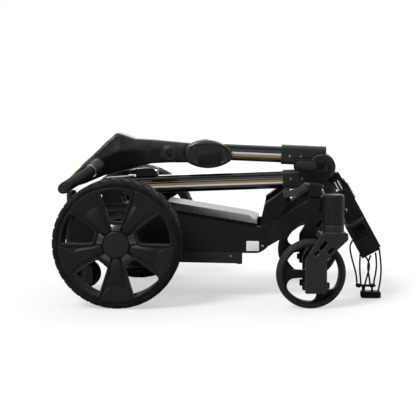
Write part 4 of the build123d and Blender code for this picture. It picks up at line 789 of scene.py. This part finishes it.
# The shells are smooth with a soft sheen, the plates dull and grained, and the brows gloss like lacquer.
shell_abs = moulded("satin_shell_abs", "#0f0f10", "#55555b",
                    grain_mm=1.6, roughness=0.26, edge_mm=4.0, relief=0.1, shine=0.6)
plate_abs = moulded("grained_plate_abs", "#0c0c0d", "#5a595d",
                    grain_mm=1.4, roughness=0.44, edge_mm=2.2, relief=0.3, shine=0.3)
gloss_abs = moulded("gloss_brow_abs", "#131315", "#66666c",
                    grain_mm=2.0, roughness=0.14, edge_mm=0.8, relief=0.04, shine=1.0)
paint(shell_abs, "adjuster_shells")
for side, sign in sides:
    for number, at in enumerate(shell_screws):
        screw("shell_screw_%s_%d" % (side, number), beside(at, sign * (shell_face - screw_depth)),
              (0, sign, 0), radius=2.0, body="upper_shaft", material=powder_coat)
    brow = [(x, sign * brow_face, z) for x, z in brow_route]
    wire("shell_brow_" + side, brow, radius=3.4, material=gloss_abs, body="upper_shaft")
    plate = rounded_block((58.0, 33.0, 4.0), corner=9.0, edge=1.2)
    plate_move = Matrix.Translation(beside(plate_at, sign * plate_face)) @ facing_turn((0, sign, 0))
    set_block("shell_plate_" + side, plate, plate_move, plate_abs, "upper_shaft")
bpy.data.objects.remove(socket_screw)

# Handle: a satin ABS console head and neck, moulded in two halves, with a gold edge along the lower
# end of its sloping face.
edge_low = (-137.5, 41.6, 282.6)
edge_high = (-112.0, 44.6, 306.6)
# Satin with very wide soft edges, so that the head's curves shade slowly; the same wide edges are painted
# paler as wear and painted highlight.
handle_abs = moulded("satin_handle_abs", "#161617", "#454448",
                     grain_mm=1.6, roughness=0.3, edge_mm=10.0, relief=0.1, shine=0.6)
paint(handle_abs, "handle_body")
for side, sign in sides:
    inlay("console_edge_" + side, spot(edge_low[0], sign * edge_low[1], edge_low[2]),
          spot(edge_high[0], sign * edge_high[1], edge_high[2]), width=3.0, lift=2.2,
          material=gold_foil, body="handle")

# Grips: swept-back bars in soft-touch rubber, seated in the head of the handle, each with a bright ring
# at its root and an oval plug in its end.
grip_dir = Vector((-0.5718, -0.7290, -0.3753))
grip_root = (-84.4, 57.4, 299.9)
grip_end = (-141.3, 130.0, 262.6)
plug_size = (12.2, 8.8, 1.6)
plug_round = 0.5
plug_rim = 1.6
plug_dip = 0.7
plug_turn = math.atan2(grip_dir.z, grip_dir.x)
# The grips are an even soft black; the plugs are a shade paler, so that the ends of the grips show.
grip_rubber = rubber("soft_touch_grip", "#121212", "#1e1e1e", grain_mm=1.1, shine=0.4)
plug_rubber = moulded("grip_end_plug", "#1c1c1d", "#48474a",
                      grain_mm=1.4, roughness=0.5, edge_mm=0.8, relief=0.2, shine=0.4)
paint(grip_rubber, "grips")
for side, sign in sides:
    out = Vector((grip_dir.x, -sign * grip_dir.y, grip_dir.z))
    ring("grip_ring_" + side, spot(grip_root[0], sign * grip_root[1], grip_root[2]), out,
         outer=15.6, inner=13.3, depth=1.2, material=chrome, body="handle")
    bpy.ops.object.select_all(action="DESELECT")
    bpy.ops.mesh.primitive_cylinder_add(vertices=40, radius=1.0, depth=1.0)
    plug = bpy.context.object
    plug.data.transform(Matrix.Diagonal((plug_size[0] / 1000, plug_size[1] / 1000, plug_size[2] / 1000, 1.0)))
    bpy.ops.object.mode_set(mode="EDIT")
    bpy.ops.mesh.select_mode(type="FACE")
    pick(plug, lambda face: abs(face.normal.z) > 0.9)
    bpy.ops.mesh.bevel(offset=plug_round / 1000, segments=2, affect="EDGES")
    pick(plug, lambda face: face.normal.z > 0.99)
    bpy.ops.mesh.inset(thickness=plug_rim / 1000)
    bpy.ops.mesh.extrude_region_move(TRANSFORM_OT_translate={"value": (0, 0, -plug_dip / 1000)})
    bpy.ops.object.mode_set(mode="OBJECT")
    end_place = spot(grip_end[0], sign * grip_end[1], grip_end[2])
    seat = Matrix.Translation(end_place) @ Matrix.Rotation(-plug_turn, 4, "Y")
    plug.data.transform(seat @ Matrix.Rotation(math.radians(90 * -sign), 4, "X"))
    settle(plug, "grip_plug_" + side, plug_rubber, "handle")

# Accessory bosses: round ABS plugs pressed into the sides of the neck, each with a raised ring
# and a blackened steel thread insert.
boss_at = (102.0, 338.0)
boss_face = 33.0
paint(cap_abs, "accessory_bosses")
for side, sign in sides:
    boss = beside(boss_at, sign * boss_face)
    ring("boss_ring_" + side, boss, (0, sign, 0), outer=14.4, inner=11.4, depth=1.0,
         material=ring_satin, body="handle")
    ring("boss_insert_" + side, boss, (0, sign, 0), outer=5.4, inner=3.1, depth=0.7,
         material=powder_coat, body="handle")

# Control panel on the sloping face: gloss ABS with a smoked display window, a dial in a bright ring
# and a power button. The window is blank.
face_mid = spot(-83.0, 0.0, 336.25)
face_run = Vector((0.724064, 0.0, 0.689733))
face_out = Vector((-0.689733, 0.0, 0.724064))
face_turn = Matrix((Vector((0, -1, 0)), face_run, face_out)).transposed().to_4x4()
window_up = 37.0
window_out = 1.2
ring_out = 0.8
dial_up = -30.0
button_up = 10.0
mark_up = (-24.0, -16.0)
mark_out = 3.15
# Polished ABS gives a deep black with a sharp sheen.
polished_abs = moulded("polished_panel_abs", "#0b0b0c", "#45454a",
                       grain_mm=2.2, roughness=0.2, edge_mm=1.6, relief=0.05, shine=0.34)
paint(polished_abs, "control_panel")
paint(cap_abs, "speed_dial", "power_button")


def on_face(u, v, w):
    # A point on the console face, in millimetres across, up and out of it.
    return face_mid + (Vector((0, -u, 0)) + v * face_run + w * face_out) / 1000


# Smoked acrylic: almost black with a blue cast, its polish hazed in patches of about 17 mm.
smoked, tree, place = start_material("smoked_acrylic_window")
haze = add(tree, "ShaderNodeTexNoise", {"Vector": place, "Scale": 60.0, "Detail": 3.0})
rough = add(tree, "ShaderNodeMapRange", {"Value": haze.outputs["Fac"], "To Min": 0.2, "To Max": 0.3})
shader = add(tree, "ShaderNodeBsdfPrincipled", {
    "Base Color": linear("#0a0d12"), "Roughness": rough.outputs["Result"], "IOR": 1.49})
add(tree, "ShaderNodeOutputMaterial", {"Surface": shader.outputs["BSDF"]})
window = rounded_block((44.0, 24.0, 1.4), corner=4.0, edge=0.4)
window_move = Matrix.Translation(on_face(0, window_up, window_out)) @ face_turn
set_block("display_window", window, window_move, smoked, "handle")
ring("dial_ring", on_face(0, dial_up, ring_out), face_out, outer=20.6, inner=18.0, depth=1.2,
     material=chrome, body="handle")
ring("button_ring", on_face(0, button_up, ring_out), face_out, outer=9.4, inner=7.5, depth=0.8,
     material=ring_satin, body="handle")
# Pad-printed paint: a plain matt white line on the dial.
white_paint = moulded("white_pad_print", "#d8d8d6", "#c8c8c6",
                      grain_mm=1.0, roughness=0.5, edge_mm=0.3, relief=0.05, shine=0.4)
inlay("dial_mark", on_face(0, mark_up[0], mark_out), on_face(0, mark_up[1], mark_out),
      width=0.5, lift=1.4, material=white_paint, body="dial")

# The studio: a pale floor, a white surround that is brightest overhead and behind, and two soft suns,
# seen from the photograph's place. The floor keeps the shadow, and its glow is for the camera alone.
floor_albedo = 0.42
floor_glow = 0.55
sky_way = (0.0, 0.83, 0.56)
sky_low = 0.1
sky_high = 1.1
sky_on_matte = 0.7
camera_place = (374.5, -3215.2, 527.6)
camera_dip = 5.72
camera_swing = 3.23
white = (1.0, 1.0, 1.0, 1.0)


def seen_straight(tree):
    # The light path, and a value of 1 for what is seen by the camera or through glass.
    path = add(tree, "ShaderNodeLightPath")
    seen = add(tree, "ShaderNodeMath", {
        0: path.outputs["Is Camera Ray"], 1: path.outputs["Is Transmission Ray"]}, operation="MAXIMUM")
    return path, seen.outputs["Value"]


# Matt floor paint: grey enough to keep the shadow, lifted to white where it is looked at.
floor_paint, tree, place = start_material("white_studio_floor")
path, seen = seen_straight(tree)
glow_level = add(tree, "ShaderNodeMath", {0: seen, 1: floor_glow}, operation="MULTIPLY")
matte = add(tree, "ShaderNodeBsdfDiffuse", {"Color": (floor_albedo, floor_albedo, floor_albedo, 1.0)})
glow = add(tree, "ShaderNodeEmission", {"Color": white, "Strength": glow_level.outputs["Value"]})
both = add(tree, "ShaderNodeAddShader", {0: matte.outputs["BSDF"], 1: glow.outputs["Emission"]})
add(tree, "ShaderNodeOutputMaterial", {"Surface": both.outputs["Shader"]})
bpy.ops.object.select_all(action="DESELECT")
bpy.ops.mesh.primitive_plane_add(size=60.0, location=(0, 0, 0))
floor = bpy.context.object
floor.name = "studio_floor"
floor.data.materials.append(floor_paint)

world = bpy.data.worlds.new("white_surround")
bpy.context.scene.world = world
world.use_nodes = True
tree = world.node_tree
tree.nodes.clear()
path, seen = seen_straight(tree)
way = add(tree, "ShaderNodeTexCoord")
rise = add(tree, "ShaderNodeVectorMath", {0: way.outputs["Generated"], 1: sky_way}, operation="DOT_PRODUCT")
level = add(tree, "ShaderNodeMapRange", {
    "Value": rise.outputs["Value"], "From Min": -0.6, "From Max": 0.8, "To Min": sky_low, "To Max": sky_high})
soft = add(tree, "ShaderNodeMath", {0: level.outputs["Result"], 1: sky_on_matte}, operation="MULTIPLY")
lit = add(tree, "ShaderNodeMix", {
    "Factor": path.outputs["Is Glossy Ray"], "A": soft.outputs["Value"], "B": level.outputs["Result"]},
    data_type="FLOAT")
strength = add(tree, "ShaderNodeMapRange", {
    "Value": seen, "To Min": lit.outputs["Result"], "To Max": 1.0})
sky = add(tree, "ShaderNodeBackground", {"Color": white, "Strength": strength.outputs["Result"]})
add(tree, "ShaderNodeOutputWorld", {"Surface": sky.outputs["Background"]})


def soft_sun(name, source, spread, strength):
    # A distant soft light from a direction, so that the floor is lit evenly to its far edge.
    light = bpy.data.lights.new(name, "SUN")
    light.angle = math.radians(spread)
    light.energy = strength
    holder = bpy.data.objects.new(name, light)
    holder.rotation_euler = Vector(source).to_track_quat("Z", "Y").to_euler()
    bpy.context.scene.collection.objects.link(holder)


soft_sun("back_soft_box", (0.15, 1.0, 0.55), spread=70.0, strength=0.9)
soft_sun("front_soft_box", (-0.55, -0.75, 0.95), spread=22.0, strength=2.3)

camera_data = bpy.data.cameras.new("photo_camera")
camera_data.lens = 114.5
camera_data.sensor_width = 36.0
camera = bpy.data.objects.new("photo_camera", camera_data)
camera.location = spot(*camera_place)
camera.rotation_euler = (math.radians(90 - camera_dip), 0, math.radians(camera_swing))
bpy.context.scene.collection.objects.link(camera)
bpy.context.scene.camera = camera
bpy.context.scene.view_settings.view_transform = "Standard"
